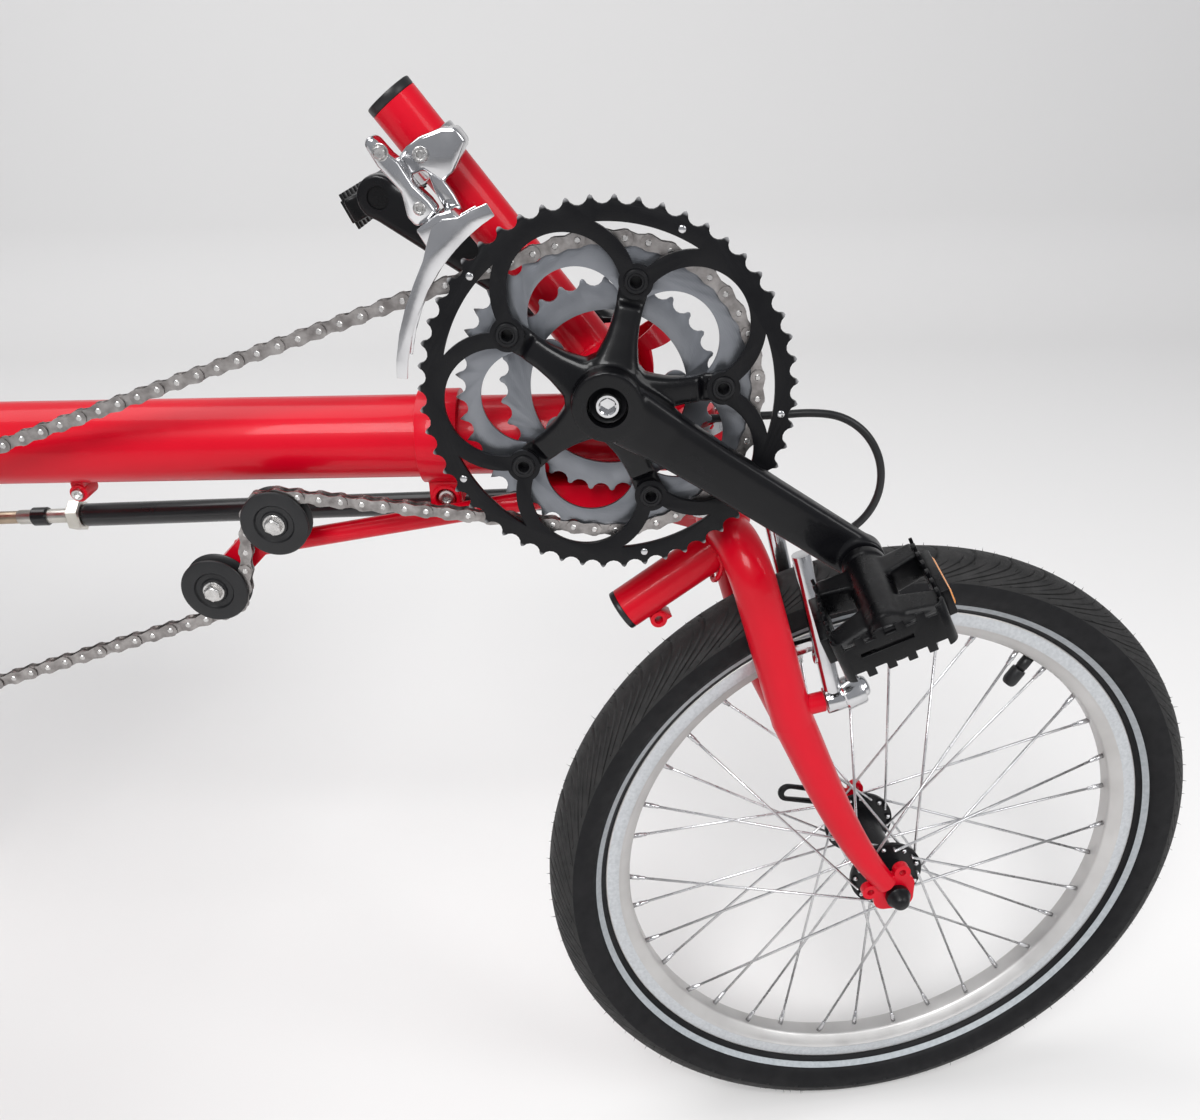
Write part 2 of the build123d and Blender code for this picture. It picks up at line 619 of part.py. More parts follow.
def cassette():
    cogs = []
    for i, teeth in enumerate(COG_TEETH):
        y = CHAIN_Y + COG_PITCH * (i - CHAIN_COG)
        body = toothed_disc(teeth)
        cogs.append(plate(body, y - COG_THICKNESS / 2, y + COG_THICKNESS / 2))
    stack = cogs[0]
    for cog in cogs[1:]:
        stack += cog
    first = CHAIN_Y - COG_PITCH * CHAIN_COG
    last = first + COG_PITCH * (len(COG_TEETH) - 1)
    stack += wheel_disc(0, 0, first - 2.5, last, 17.0)
    stack -= wheel_disc(0, 0, first - 5.0, last + 5.0, 16.0)
    return stack.moved(Location((REAR_HUB_X, 0, REAR_HUB_Z)))


def rear_derailleur():
    hanger = (REAR_HUB_X + 4.0, REAR_HUB_Z - 38.0)
    y = CHAIN_Y
    pulleys = []
    body = wheel_disc(hanger[0], hanger[1], -88.0, -73.8, 9.0)
    knuckle = (GUIDE_PULLEY[0] + 14.0, GUIDE_PULLEY[1] - 30.0)
    body += rod((hanger[0], -83.0, hanger[1]), (knuckle[0], -60.0, knuckle[1]), 5.0)
    for offset in (-8.5, 8.5):
        side = Sketch()
        for place in (GUIDE_PULLEY, TENSION_PULLEY):
            side += Pos(*place) * Circle(8.0)
        mid = ((GUIDE_PULLEY[0] + TENSION_PULLEY[0]) / 2, (GUIDE_PULLEY[1] + TENSION_PULLEY[1]) / 2)
        span = hypot(GUIDE_PULLEY[0] - TENSION_PULLEY[0], GUIDE_PULLEY[1] - TENSION_PULLEY[1])
        lean = degrees(atan2(TENSION_PULLEY[1] - GUIDE_PULLEY[1], TENSION_PULLEY[0] - GUIDE_PULLEY[0]))
        side += Pos(*mid) * Rot(0, 0, lean) * Rectangle(span, 16.0)
        if offset < 0:
            arm_lean = degrees(atan2(knuckle[1] - GUIDE_PULLEY[1], knuckle[0] - GUIDE_PULLEY[0]))
            arm_span = hypot(knuckle[0] - GUIDE_PULLEY[0], knuckle[1] - GUIDE_PULLEY[1])
            arm_mid = ((knuckle[0] + GUIDE_PULLEY[0]) / 2, (knuckle[1] + GUIDE_PULLEY[1]) / 2)
            side += Pos(*arm_mid) * Rot(0, 0, arm_lean) * Rectangle(arm_span, 12.0) + Pos(*knuckle) * Circle(8.0)
        body += plate(side, y + offset - 1.0, y + offset + 1.0)
    body += rod((knuckle[0], -62.0, knuckle[1]), (knuckle[0], y - 8.0, knuckle[1]), 8.0)
    for x, z in (GUIDE_PULLEY, TENSION_PULLEY):
        body += wheel_disc(x, z, y - 8.5, y + 8.5, 3.0)
        pulleys.append(wheel_disc(x, z, y - 3.0, y + 3.0, 15.8, 3.0 + FIT))
    return Compound(children=[body] + pulleys)


# Wheels

def tyre(centre, radius, rim_radius):
    half = TYRE_WIDTH / 2
    rim_half = RIM_WIDTH / 2
    mid_r = radius - half
    # Each row: radius, y
    right = ((rim_radius + 0.3, rim_half - 1.0), (mid_r - 8.0, half - 2.5), (mid_r + 3.0, half),
             (mid_r + 14.0, half - 6.5), (radius - 2.5, half - 14.0), (radius, half - 20.0))
    left = tuple((r, -y) for r, y in reversed(right))
    return revolved(right + left, centre)


def rim(centre, rim_radius, spokes_from):
    half = RIM_WIDTH / 2
    inner = rim_radius - RIM_DEPTH
    # Each row: radius, y
    profile = ((rim_radius, half), (rim_radius, half - 2.0), (rim_radius - 6.0, half - 2.0), (rim_radius - 8.0, 4.0),
               (rim_radius - 8.0, -4.0), (rim_radius - 6.0, 2.0 - half), (rim_radius, 2.0 - half), (rim_radius, -half),
               (rim_radius - 11.0, -half), (inner, -6.0), (inner, 6.0), (rim_radius - 11.0, half))
    return revolved(profile, centre)


def spokes(centre, rim_radius, flange_r, flanges):
    # The flanges are given as (right y, left y). The spokes leave each flange three-cross.
    per_side = SPOKE_COUNT // 2
    bed_r = rim_radius - RIM_DEPTH - 0.3
    wires = []
    for number in range(SPOKE_COUNT):
        side = number % 2
        index = number // 2
        heading = 1 if index % 2 else -1
        bed_angle = 360.0 * number / SPOKE_COUNT
        flange_angle = bed_angle + heading * 3 * 360.0 / per_side
        outward = 1 if flanges[side] > 0 else -1
        fy = flanges[side] + outward * (SPOKE_OUTSIDE if index % 2 else -SPOKE_INSIDE)
        fx, fz = polar(flange_r, flange_angle)
        bx, bz = polar(bed_r, bed_angle)
        by = 2.5 if side else -2.5
        wires.append(rod((centre.X + fx, fy, centre.Z + fz), (centre.X + bx, by, centre.Z + bz), SPOKE_R))
    return Compound(children=wires)


def front_hub():
    body = rod((0, -44, 0), (0, 44, 0), 14.0)
    for y in (-FRONT_FLANGE_Y, FRONT_FLANGE_Y):
        body += rod((0, y - 1.3, 0), (0, y + 1.3, 0), FRONT_FLANGE_R + 3.5)
    body -= rod((0, -60, 0), (0, 60, 0), AXLE_R + FIT)
    return body.moved(Location(FRONT_HUB))


def rear_hub():
    body = rod((0, -63.5, 0), (0, 62.0, 0), 15.5)
    for y in (REAR_FLANGE_RIGHT_Y, REAR_FLANGE_LEFT_Y):
        body += rod((0, y - 1.3, 0), (0, y + 1.3, 0), REAR_FLANGE_R + 3.5)
    body -= rod((0, -80, 0), (0, 80, 0), AXLE_R + FIT)
    return body.moved(Location(REAR_HUB))


def skewer(centre, half, lever_angle):
    body = rod((0, -half - 12.0, 0), (0, half + 12.0, 0), AXLE_R)
    for side in (-1, 1):
        start, end = side * (half + DROPOUT_THICKNESS + 0.0), side * (half + DROPOUT_THICKNESS + 13.0)
        body += rod((0, start, 0), (0, end, 0), 8.5)
    lever_end = polar(58.0, lever_angle)
    body += rod((0, half + 16.0, 0), (lever_end[0], half + 18.0, lever_end[1]), 4.0)
    return body.moved(Location(centre))


# Fork

def fork():
    top = on_steer_axis(HEAD_TUBE_TOP_Z) + STEER_UP * (HEADSET_CUP_HEIGHT + 6.0)
    crown = on_steer_axis(CROWN_Z)
    race = on_steer_axis(HEAD_TUBE_BOTTOM_Z) - STEER_UP * (HEADSET_CUP_HEIGHT + 0.4)
    body = rod(crown, top, STEERER_R) + rod(crown, race, 17.0)
    # Each row: x, half spread, z, radius of the leg's sections from the crown to the dropout
    sections = ((110.5, 43.0, -231.0, LEG_R), (132.0, 46.0, -281.0, 12.6), (158.0, 50.0, -334.0, 10.4),
                (184.0, 53.0, -373.0, LEG_TIP_R))
    knee = Vector(crown.X + 4.0, LEG_SPREAD, CROWN_Z - 2.0)
    low = Vector(sections[0][0], sections[0][1], sections[0][2])
    for side in (-1, 1):
        path = [(crown.X, 0, knee.Z), (knee.X, side * knee.Y, knee.Z), (low.X, side * low.Y, low.Z)]
        body += bent_tube(path, 26.0, LEG_R)
        rings = []
        for i, (x, spread, z, radius) in enumerate(sections):
            before = sections[max(i - 1, 0)]
            after = sections[min(i + 1, len(sections) - 1)]
            if i == 0:
                heading = low - knee
            else:
                heading = Vector(after[0] - before[0], after[1] - before[1], after[2] - before[2])
            plane = Plane(origin=(x, side * spread, z), z_dir=(heading.X, side * heading.Y, heading.Z))
            rings.append(plane * Circle(radius))
        body += loft(rings)
        drop_low = FRONT_OLN / 2
        tab = Pos(FRONT_HUB_X - 2.0, FRONT_HUB_Z + 2.0) * RectangleRounded(30.0, 30.0, 9.0)
        tab += Pos(FRONT_HUB_X + 3.0, FRONT_HUB_Z + 19.0) * Circle(6.0)
        tab += Pos(FRONT_HUB_X - 20.0, FRONT_HUB_Z + 4.0) * Circle(6.0)
        tab -= Pos(FRONT_HUB_X + 3.0, FRONT_HUB_Z + 19.0) * Circle(2.6)
        tab -= Pos(FRONT_HUB_X - 20.0, FRONT_HUB_Z + 4.0) * Circle(2.6)
        low_y, high_y = sorted((side * drop_low, side * (drop_low + DROPOUT_THICKNESS)))
        body += plate(tab, low_y, high_y)
        body -= wheel_disc(FRONT_HUB_X, FRONT_HUB_Z, low_y - 1, high_y + 1, AXLE_R + FIT)
        boss = (120.0, side * 43.5, -222.0)
        body += rod((108.0, side * 43.5, -222.0), (boss[0] + 11.0, boss[1], boss[2] + 4.0), 7.0)
    slope = radians(FORK_STUB_SLOPE)
    back = Vector(-cos(slope), 0, -sin(slope))
    stub_foot = Vector(crown.X - 6.0, 0, CROWN_Z - 15.0)
    body += rod(stub_foot, stub_foot + back * (FORK_STUB_LENGTH + 10.0), FORK_STUB_R)
    arm_centre = crown + ARM_VECTOR
    body += rod(arm_centre - STEER_UP * (ARM_THICKNESS / 2), arm_centre + STEER_UP * (ARM_THICKNESS / 2), ARM_END_R)
    lean = degrees(atan2(ARM_VECTOR.Y, -ARM_LENGTH * sin(radians(ARM_SWEEP))))
    arm_plane = Plane(origin=crown, x_dir=STEER_OUT, z_dir=STEER_UP)
    body += arm_plane * (Rot(0, 0, lean) * Pos(ARM_LENGTH / 2, 0, 0) * Box(ARM_LENGTH, ARM_WIDTH, ARM_THICKNESS))
    body += rod(arm_centre, arm_centre + STEER_UP * (ARM_THICKNESS / 2 + ROD_LIFT + ROD_EYE_HEIGHT + 3.0), PIVOT_BOLT_R)
    return steered(body)


def fork_stub_cap():
    slope = radians(FORK_STUB_SLOPE)
    back = Vector(-cos(slope), 0, -sin(slope))
    crown = on_steer_axis(CROWN_Z)
    end = Vector(crown.X - 6.0, 0, CROWN_Z - 15.0) + back * (FORK_STUB_LENGTH + 10.0)
    return steered(rod(end, end + back * 4.0, FORK_STUB_R))


def front_brake():
    arms = []
    for side in (-1, 1):
        low = Vector(136.0, side * 43.5, -218.0)
        high = Vector(112.0, side * 38.0, -112.0)
        arm = rod(low - Vector(3.5, 0, 0), low + Vector(9.0, 0, 3.0), 9.0) + rod(low + Vector(3, 0, 0), high, 6.0)
        track_x, track_z = polar(BRAKE_TRACK_R, PAD_DIRECTION)
        pad_x, pad_z = FRONT_HUB_X + track_x, FRONT_HUB_Z + track_z
        pad_y = RIM_WIDTH / 2 + PAD_CLEARANCE + PAD_SIZE[1] / 2
        arm += rod((pad_x, side * (pad_y + 24.0), pad_z), (pad_x, side * pad_y, pad_z), 4.5)
        arm += rod((pad_x, side * (pad_y + 22.0), pad_z), (pad_x - 14.0, side * (pad_y + 22.0), pad_z), 5.5)
        pad = Pos(pad_x, side * pad_y, pad_z) * Rot(0, 90 - PAD_DIRECTION, 0) * Box(*PAD_SIZE)
        arms.append(steered(arm + pad))
    return Compound(children=arms)


# Steering linkage

def rod_pivot(axis_shift, straight):
    crown = on_steer_axis(CROWN_Z) + axis_shift
    centre = crown + ARM_VECTOR
    if straight:
        return centre
    turned = ARM_VECTOR.rotate(Axis((0, 0, 0), STEER_UP), STEER_REST)
    return crown + turned


def rod_eye_centre(shift):
    lift = ARM_THICKNESS / 2 + ROD_LIFT + ROD_EYE_HEIGHT / 2
    return rod_pivot(shift, False) + STEER_UP * lift


def tie_rod():
    front = rod_eye_centre(Vector(0, 0, 0))
    rear = rod_eye_centre(ROD_SHIFT)
    along = (rear - front).normalized()
    body = rod(front + along * 8.0, front + along * (ROD_LENGTH - 8.0), THIN_ROD_R)
    body += rod(front + along * 20.0, front + along * ROD_TUBE_LENGTH, ROD_R)
    body += rod(front + along * ROD_TUBE_LENGTH, front + along * (ROD_TUBE_LENGTH + 40.0), STUD_R)
    for centre, bore in ((front, PIVOT_BOLT_R + FIT), (rear, PIVOT_BOLT_R + OPEN_PIVOT_GAP)):
        half = STEER_UP * (ROD_EYE_HEIGHT / 2)
        body += rod(centre - half, centre + half, ROD_EYE_R)
        body -= rod(centre - half * 2, centre + half * 2, bore)
    return body


def rod_nut():
    front = rod_eye_centre(Vector(0, 0, 0))
    rear = rod_eye_centre(ROD_SHIFT)
    along = (rear - front).normalized()
    start = front + along * (ROD_TUBE_LENGTH + 0.3)
    plane = Plane(origin=start, z_dir=along)
    nut = extrude(plane * RegularPolygon(9.5, 6), amount=9.0)
    return nut - rod(start - along * 2.0, start + along * 12.0, STUD_R + FIT)


def steering_bracket():
    pivot = on_steer_axis(CROWN_Z) + ROD_SHIFT
    top = pivot + STEER_UP * ((MAIN_TUBE_Z - MAIN_TUBE_R - pivot.Z + 6.0) / STEER_UP.Z)
    bottom = pivot - STEER_UP * 4.0
    body = rod(bottom + STEER_UP * 16.0, top, 16.0) + rod(bottom - STEER_UP * 30.0, top, 9.0)
    return body - rod((-700, 0, MAIN_TUBE_Z), (-400, 0, MAIN_TUBE_Z), MAIN_TUBE_R)


def handlebar():
    pivot = on_steer_axis(CROWN_Z) + ROD_SHIFT
    sleeve = rod(pivot - STEER_UP * 30.0, pivot + STEER_UP * 11.0, 16.0)
    centre = pivot - STEER_UP * 30.0
    grip_low = Vector(centre.X - 60.0, BAR_HALF_WIDTH, -20.0)
    grip_high = Vector(centre.X - 95.0, BAR_HALF_WIDTH + 6.0, 120.0)
    body = sleeve
    for side in (-1, 1):
        path = [(centre.X, 0, centre.Z), (centre.X, side * 150.0, centre.Z), (centre.X - 30.0, side * 240.0, -120.0),
                (grip_low.X, side * grip_low.Y, grip_low.Z), (grip_high.X, side * grip_high.Y, grip_high.Z)]
        body += bent_tube(path, [60.0, 45.0, 60.0], BAR_R)
    lean = degrees(atan2(ARM_VECTOR.Y, -ARM_LENGTH * sin(radians(ARM_SWEEP))))
    arm_plane = Plane(origin=pivot, x_dir=STEER_OUT, z_dir=STEER_UP)
    body += arm_plane * (Rot(0, 0, lean) * Pos(ARM_LENGTH / 2, 0, 0) * Box(ARM_LENGTH, ARM_WIDTH, ARM_THICKNESS))
    arm_centre = pivot + ARM_VECTOR
    half = STEER_UP * (ARM_THICKNESS / 2)
    body += rod(arm_centre - half, arm_centre + half, ARM_END_R)
    body += rod(arm_centre, arm_centre + half + STEER_UP * (ROD_LIFT + ROD_EYE_HEIGHT + 3.0), PIVOT_BOLT_R)
    body -= rod(pivot - STEER_UP * 80.0, pivot + STEER_UP * 60.0, 9.0 + FIT)
    return bar_steered(body)


def grip_line(side):
    pivot = on_steer_axis(CROWN_Z) + ROD_SHIFT - STEER_UP * 30.0
    low = Vector(pivot.X - 60.0, side * BAR_HALF_WIDTH, -20.0)
    high = Vector(pivot.X - 95.0, side * (BAR_HALF_WIDTH + 6.0), 120.0)
    return low, high


def grips():
    pieces = []
    for side in (-1, 1):
        low, high = grip_line(side)
        along = (high - low).normalized()
        start = high - along * (GRIP_LENGTH - 10.0)
        grip = rod(start, high + along * 4.0, GRIP_R) - rod(start - along, high + along * 0.3, BAR_R + SLIDE_GAP)
        pieces.append(bar_steered(grip))
    return Compound(children=pieces)


def brake_levers():
    pieces = []
    for side in (-1, 1):
        low, high = grip_line(side)
        along = (high - low).normalized()
        base = high - along * (GRIP_LENGTH + 8.0)
        clamp = rod(base - along * 7.0, base + along * 7.0, BAR_R + 4.5) - rod(base - along * 9.0, base + along * 9.0, BAR_R + SLIDE_GAP)
        out = Vector(1, 0, 0)
        body = clamp + (rod(base + out * 16.0, base + out * 34.0, 8.0))
        body += rod(base + out * 32.0, base + out * 44.0 + along * 95.0, 5.0)
        pieces.append(bar_steered(body))
    return Compound(children=pieces)


# Seat

def back_direction():
    return Vector(-cos(radians(BACK_ANGLE)), 0, sin(radians(BACK_ANGLE)))


def seat_base_pad():
    centre_x = SEAT_REAR_X + SEAT_LENGTH / 2
    pad = Pos(centre_x, 0, SEAT_TOP_Z - SEAT_PAD / 2) * Box(SEAT_LENGTH, SEAT_WIDTH, SEAT_PAD)
    return fillet(pad.edges().filter_by(Axis.Z), 50.0)


def seat_back_pad():
    up = back_direction()
    normal = Vector(up.Z, 0, -up.X)
    foot = Vector(SEAT_REAR_X - 34.0, 0, SEAT_TOP_Z - 6.0)
    plane = Plane(origin=foot + up * (BACK_LENGTH / 2), x_dir=up, z_dir=normal)
    pad = plane * Box(BACK_LENGTH, SEAT_WIDTH - 40.0, BACK_PAD)
    return pad


def seat_frame():
    base_z = SEAT_TOP_Z - SEAT_PAD - SEAT_TUBE_R - 0.3
    front_x, rear_x = SEAT_REAR_X + SEAT_LENGTH - 12.0, SEAT_REAR_X - 10.0
    half = SEAT_WIDTH / 2 - 25.0
    up = back_direction()
    normal = Vector(up.Z, 0, -up.X)
    foot = Vector(SEAT_REAR_X - 34.0, 0, SEAT_TOP_Z - 6.0) - normal * (BACK_PAD / 2 + SEAT_TUBE_R + 0.3)
    top = foot + up * (BACK_LENGTH - 12.0)
    body = None
    for side in (-1, 1):
        rail = rod((front_x, side * half, base_z), (foot.X, side * half, base_z), SEAT_TUBE_R)
        back = rod((foot.X, side * half, base_z), (top.X, side * half, top.Z), SEAT_TUBE_R)
        piece = rail + back
        body = piece if body is None else body + piece
    for x in (front_x - 30.0, rear_x + 30.0):
        body += rod((x, -half, base_z), (x, half, base_z), SEAT_TUBE_R - 1.5)
    for share in (0.35, 0.97):
        place = Vector(foot.X, 0, base_z) + (Vector(top.X, 0, top.Z) - Vector(foot.X, 0, base_z)) * share
        body += rod((place.X, -half, place.Z), (place.X, half, place.Z), SEAT_TUBE_R - 1.5)
    saddle_low = MAIN_TUBE_Z + 4.0
    for x in (front_x - 30.0, rear_x + 30.0):
        saddle = Pos(x, 0, (saddle_low + base_z) / 2) * Box(30.0, 64.0, base_z - saddle_low)
        body += saddle - rod((x - 40, 0, MAIN_TUBE_Z), (x + 40, 0, MAIN_TUBE_Z), MAIN_TUBE_R + SLIDE_GAP)
    return body


NODES = {
    "main_tube": main_tube,
    "boom": boom,
    "post_cap": post_cap,
    "boom_clamp": boom_clamp,
    "rear_frame": rear_frame,
    "headset": headset,
    "bottom_bracket": bottom_bracket,
    "chain": chain,
    "outer_chainring": outer_chainring,
    "inner_chainrings": inner_chainrings,
    "right_crank": right_crank,
    "left_crank": lambda: crank_arm(1),
    "chainring_bolts": bolts,
    "crank_axle": crank_axle,
    "right_pedal": lambda: pedal(-1),
    "left_pedal": lambda: pedal(1),
    "idlers": lambda: Compound(children=[idler(UPPER_IDLER), idler(LOWER_IDLER)]),
    "idler_arm": idler_arm,
    "front_derailleur": front_derailleur,
    "cassette": cassette,
    "rear_derailleur": rear_derailleur,
    "front_tyre": lambda: steered(tyre(FRONT_HUB, FRONT_TYRE_R, FRONT_RIM_R)),
    "front_rim": lambda: steered(rim(FRONT_HUB, FRONT_RIM_R, 0)),
    "front_spokes": lambda: steered(spokes(FRONT_HUB, FRONT_RIM_R, FRONT_FLANGE_R, (-FRONT_FLANGE_Y, FRONT_FLANGE_Y))),
    "front_hub": lambda: steered(front_hub()),
    "front_axle": lambda: steered(skewer(FRONT_HUB, FRONT_OLN / 2, 150.0)),
    "rear_tyre": lambda: tyre(REAR_HUB, REAR_TYRE_R, REAR_RIM_R),
    "rear_rim": lambda: rim(REAR_HUB, REAR_RIM_R, 0),
    "rear_spokes": lambda: spokes(REAR_HUB, REAR_RIM_R, REAR_FLANGE_R, (REAR_FLANGE_RIGHT_Y, REAR_FLANGE_LEFT_Y)),
    "rear_hub": rear_hub,
    "rear_axle": lambda: skewer(REAR_HUB, REAR_OLN / 2, 20.0),
    "fork": fork,
    "fork_stub_cap": fork_stub_cap,
    "front_brake": front_brake,
    "tie_rod": tie_rod,
    "rod_nut": rod_nut,
    "steering_bracket": steering_bracket,
    "handlebar": handlebar,
    "grips": grips,
    "brake_levers": brake_levers,
    "seat_frame": seat_frame,
    "seat_base_pad": seat_base_pad,
    "seat_back_pad": seat_back_pad,
}

os.makedirs("parts", exist_ok=True)
for name, build in NODES.items():
    shape = build()
    shape = shape.moved(Location((-HIP_POINT[0], -HIP_POINT[1], -HIP_POINT[2])))
    export_step(shape, f"parts/{name}.step")
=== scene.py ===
import json
import random
from math import asin, atan2, cos, exp, hypot, pi, radians, sin

import bmesh
import bpy
from mathutils import Matrix, Vector


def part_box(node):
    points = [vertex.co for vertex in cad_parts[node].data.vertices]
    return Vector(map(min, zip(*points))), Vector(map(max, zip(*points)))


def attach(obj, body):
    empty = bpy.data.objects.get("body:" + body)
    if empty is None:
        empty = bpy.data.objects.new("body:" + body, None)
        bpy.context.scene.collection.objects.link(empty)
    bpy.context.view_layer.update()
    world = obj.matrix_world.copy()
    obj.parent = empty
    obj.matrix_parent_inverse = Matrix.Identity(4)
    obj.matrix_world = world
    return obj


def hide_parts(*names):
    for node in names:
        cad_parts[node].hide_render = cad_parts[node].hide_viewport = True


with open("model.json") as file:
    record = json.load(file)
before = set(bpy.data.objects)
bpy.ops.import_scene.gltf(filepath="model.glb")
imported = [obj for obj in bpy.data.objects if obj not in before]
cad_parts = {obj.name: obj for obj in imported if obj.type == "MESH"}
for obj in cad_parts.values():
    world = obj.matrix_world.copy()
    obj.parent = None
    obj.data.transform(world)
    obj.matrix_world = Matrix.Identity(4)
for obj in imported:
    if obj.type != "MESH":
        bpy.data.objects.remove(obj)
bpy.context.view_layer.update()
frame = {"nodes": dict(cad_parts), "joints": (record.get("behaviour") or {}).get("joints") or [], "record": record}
NODES = frame["nodes"]
RECORD = frame["record"]
JOINTS = {joint["name"]: joint for joint in frame["joints"]}

# Lengths are in metres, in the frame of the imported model: +X forward, +Y to the rider's left, +Z up,
# with the rider's hip point as origin. BRACKET is the bottom bracket's centre.
BRACKET = Vector(JOINTS["crank_spin"]["pos_m"])
GROUND_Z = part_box("rear_tyre")[0].z
STEER_REST = radians(8.6)
STEER_AXIS = Vector(JOINTS["steering"]["axis"])

CRANK_LENGTH = 0.170
CRANK_ANGLE = -32.0
PEDAL_ANGLE = radians(25.0)

# Camera, with the photograph's focal length and centre in pixels of its 1200 x 1120 frame
CAMERA_PLACE = BRACKET + Vector((0.019075, -0.662400, 0.189428))
CAMERA_TURN = (60.9611, 0.9469, -0.3206)
IMAGE_WIDTH = 1200.0
FOCAL_PIXELS = 1107.108
CENTRE_SHIFT_PIXELS = (-42.6, 66.2)
SENSOR_WIDTH = 36.0

# Wheels
FRONT_RIM_R = 0.2095
REAR_RIM_R = 0.286
TYRE_HEIGHT = 0.0405
RIM_HALF_WIDTH = 0.0125
RIM_DEPTH = 0.019
SPOKE_COUNT = 36
SPOKE_R = 0.001
FRONT_FLANGES = (-0.032, 0.032)
REAR_FLANGES = (-0.017, 0.034)
FRONT_FLANGE_R = 0.024
REAR_FLANGE_R = 0.029
TREAD_PITCH = 0.028

# Drive, as places from the bottom bracket
CHAIN_PITCH = 0.0127
CHAIN_Y = -0.045
UPPER_IDLER = (-0.203, -0.076)
LOWER_IDLER = (-0.248, -0.120)
IDLER_FACE_Y = CHAIN_Y - 0.0061
OUTER_RING_FACE_Y = -0.0536
OUTER_RING_BACK_Y = -0.0504
BOLT_CIRCLE_R = 0.065
SMALL_BOLT_CIRCLE_R = 0.037
BOLT_HOLE_R = 0.0051
CUT_MARGIN = 0.001
SPIDER_PHASE = 3.0
PEDAL_MIDDLE_Y = 0.141

# Frame, as places from the bottom bracket
MAIN_TUBE_Z = -0.0396
BOOM_R = 0.0242
POST_TILT = radians(53.0)
POST_UP = Vector((-cos(POST_TILT), 0.0, sin(POST_TILT)))
POST_FORWARD = Vector((sin(POST_TILT), 0.0, cos(POST_TILT)))
POST_R = 0.0143


# Materials

def new_material(name):
    material = bpy.data.materials.new(name)
    material.use_nodes = True
    tree = material.node_tree
    return material, tree, tree.nodes["Principled BSDF"]


def coordinates(tree, kind="Object"):
    return tree.nodes.new("ShaderNodeTexCoord").outputs[kind]


def noise(tree, scale, detail=3.0, rough=0.5):
    texture = tree.nodes.new("ShaderNodeTexNoise")
    texture.inputs["Scale"].default_value = scale
    texture.inputs["Detail"].default_value = detail
    texture.inputs["Roughness"].default_value = rough
    tree.links.new(coordinates(tree), texture.inputs["Vector"])
    return texture.outputs["Fac"]


def ramp(tree, source, stops):
    node = tree.nodes.new("ShaderNodeValToRGB")
    elements = node.color_ramp.elements
    while len(elements) < len(stops):
        elements.new(0.5)
    for element, (place, colour) in zip(elements, stops):
        element.position = place
        element.color = (*colour, 1.0)
    tree.links.new(source, node.inputs["Fac"])
    return node.outputs["Color"]


def bump(tree, shader, source, strength, distance=0.001):
    node = tree.nodes.new("ShaderNodeBump")
    node.inputs["Strength"].default_value = strength
    node.inputs["Distance"].default_value = distance
    tree.links.new(source, node.inputs["Height"])
    tree.links.new(node.outputs["Normal"], shader.inputs["Normal"])


def surface(name, dark, light, rough, metal=0.0, scale=40.0, bump_scale=400.0, bump_strength=0.05, coat=0.0,
            shine=0.5):
    # The colour wanders between dark and light, and the roughness between its two values, over a fine bump.
    material, tree, shader = new_material(name)
    tree.links.new(ramp(tree, noise(tree, scale), ((0.3, dark), (0.7, light))), shader.inputs["Base Color"])
    low, high = rough
    shade = ramp(tree, noise(tree, scale * 2.3), ((0.3, (low,) * 3), (0.7, (high,) * 3)))
    tree.links.new(shade, shader.inputs["Roughness"])
    shader.inputs["Metallic"].default_value = metal
    shader.inputs["Specular IOR Level"].default_value = shine
    shader.inputs["Coat Weight"].default_value = coat
    shader.inputs["Coat Roughness"].default_value = 0.05
    bump(tree, shader, noise(tree, bump_scale), bump_strength)
    return material


def woven(name, dark, light, thread):
    # Cloth with a square weave of the given thread spacing in metres.
    material, tree, shader = new_material(name)
    waves = []
    for direction in ("X", "Y", "Z"):
        wave = tree.nodes.new("ShaderNodeTexWave")
        wave.bands_direction = direction
        wave.inputs["Scale"].default_value = 0.314 / thread
        wave.inputs["Distortion"].default_value = 0.4
        wave.inputs["Detail"].default_value = 1.0
        tree.links.new(coordinates(tree), wave.inputs["Vector"])
        waves.append(wave.outputs["Fac"])
    total = waves[0]
    for other in waves[1:]:
        add = tree.nodes.new("ShaderNodeMath")
        add.operation = "ADD"
        tree.links.new(total, add.inputs[0])
        tree.links.new(other, add.inputs[1])
        total = add.outputs[0]
    tree.links.new(ramp(tree, total, ((0.6, dark), (1.0, light))), shader.inputs["Base Color"])
    shader.inputs["Roughness"].default_value = 0.85
    shader.inputs["Sheen Weight"].default_value = 0.25
    bump(tree, shader, total, 0.5, 0.0006)
    return material


RED = surface("red paint", (0.52, 0.0008, 0.011), (0.60, 0.001, 0.015), (0.28, 0.38), scale=9.0,
              bump_scale=260.0, bump_strength=0.03, coat=0.18, shine=0.15)
BLACK_PAINT = surface("black paint", (0.006, 0.006, 0.007), (0.011, 0.011, 0.012), (0.25, 0.4), scale=15.0,
                      coat=0.3, shine=0.3)
BLACK_ALLOY = surface("black alloy", (0.004, 0.004, 0.005), (0.009, 0.009, 0.010), (0.26, 0.40), scale=18.0,
                      bump_scale=700.0, bump_strength=0.06, shine=0.25)
SILVER = surface("silver alloy", (0.46, 0.46, 0.47), (0.62, 0.62, 0.63), (0.18, 0.34), metal=1.0, scale=25.0,
                 bump_scale=900.0)
RIM_BODY = surface("satin rim", (0.52, 0.51, 0.50), (0.60, 0.59, 0.58), (0.4, 0.52), metal=0.8, scale=30.0,
                   bump_scale=900.0)
RIM_TRACK = surface("machined rim track", (0.50, 0.52, 0.54), (0.60, 0.62, 0.64), (0.34, 0.46), metal=0.9,
                    scale=420.0, bump_scale=1600.0, bump_strength=0.10)
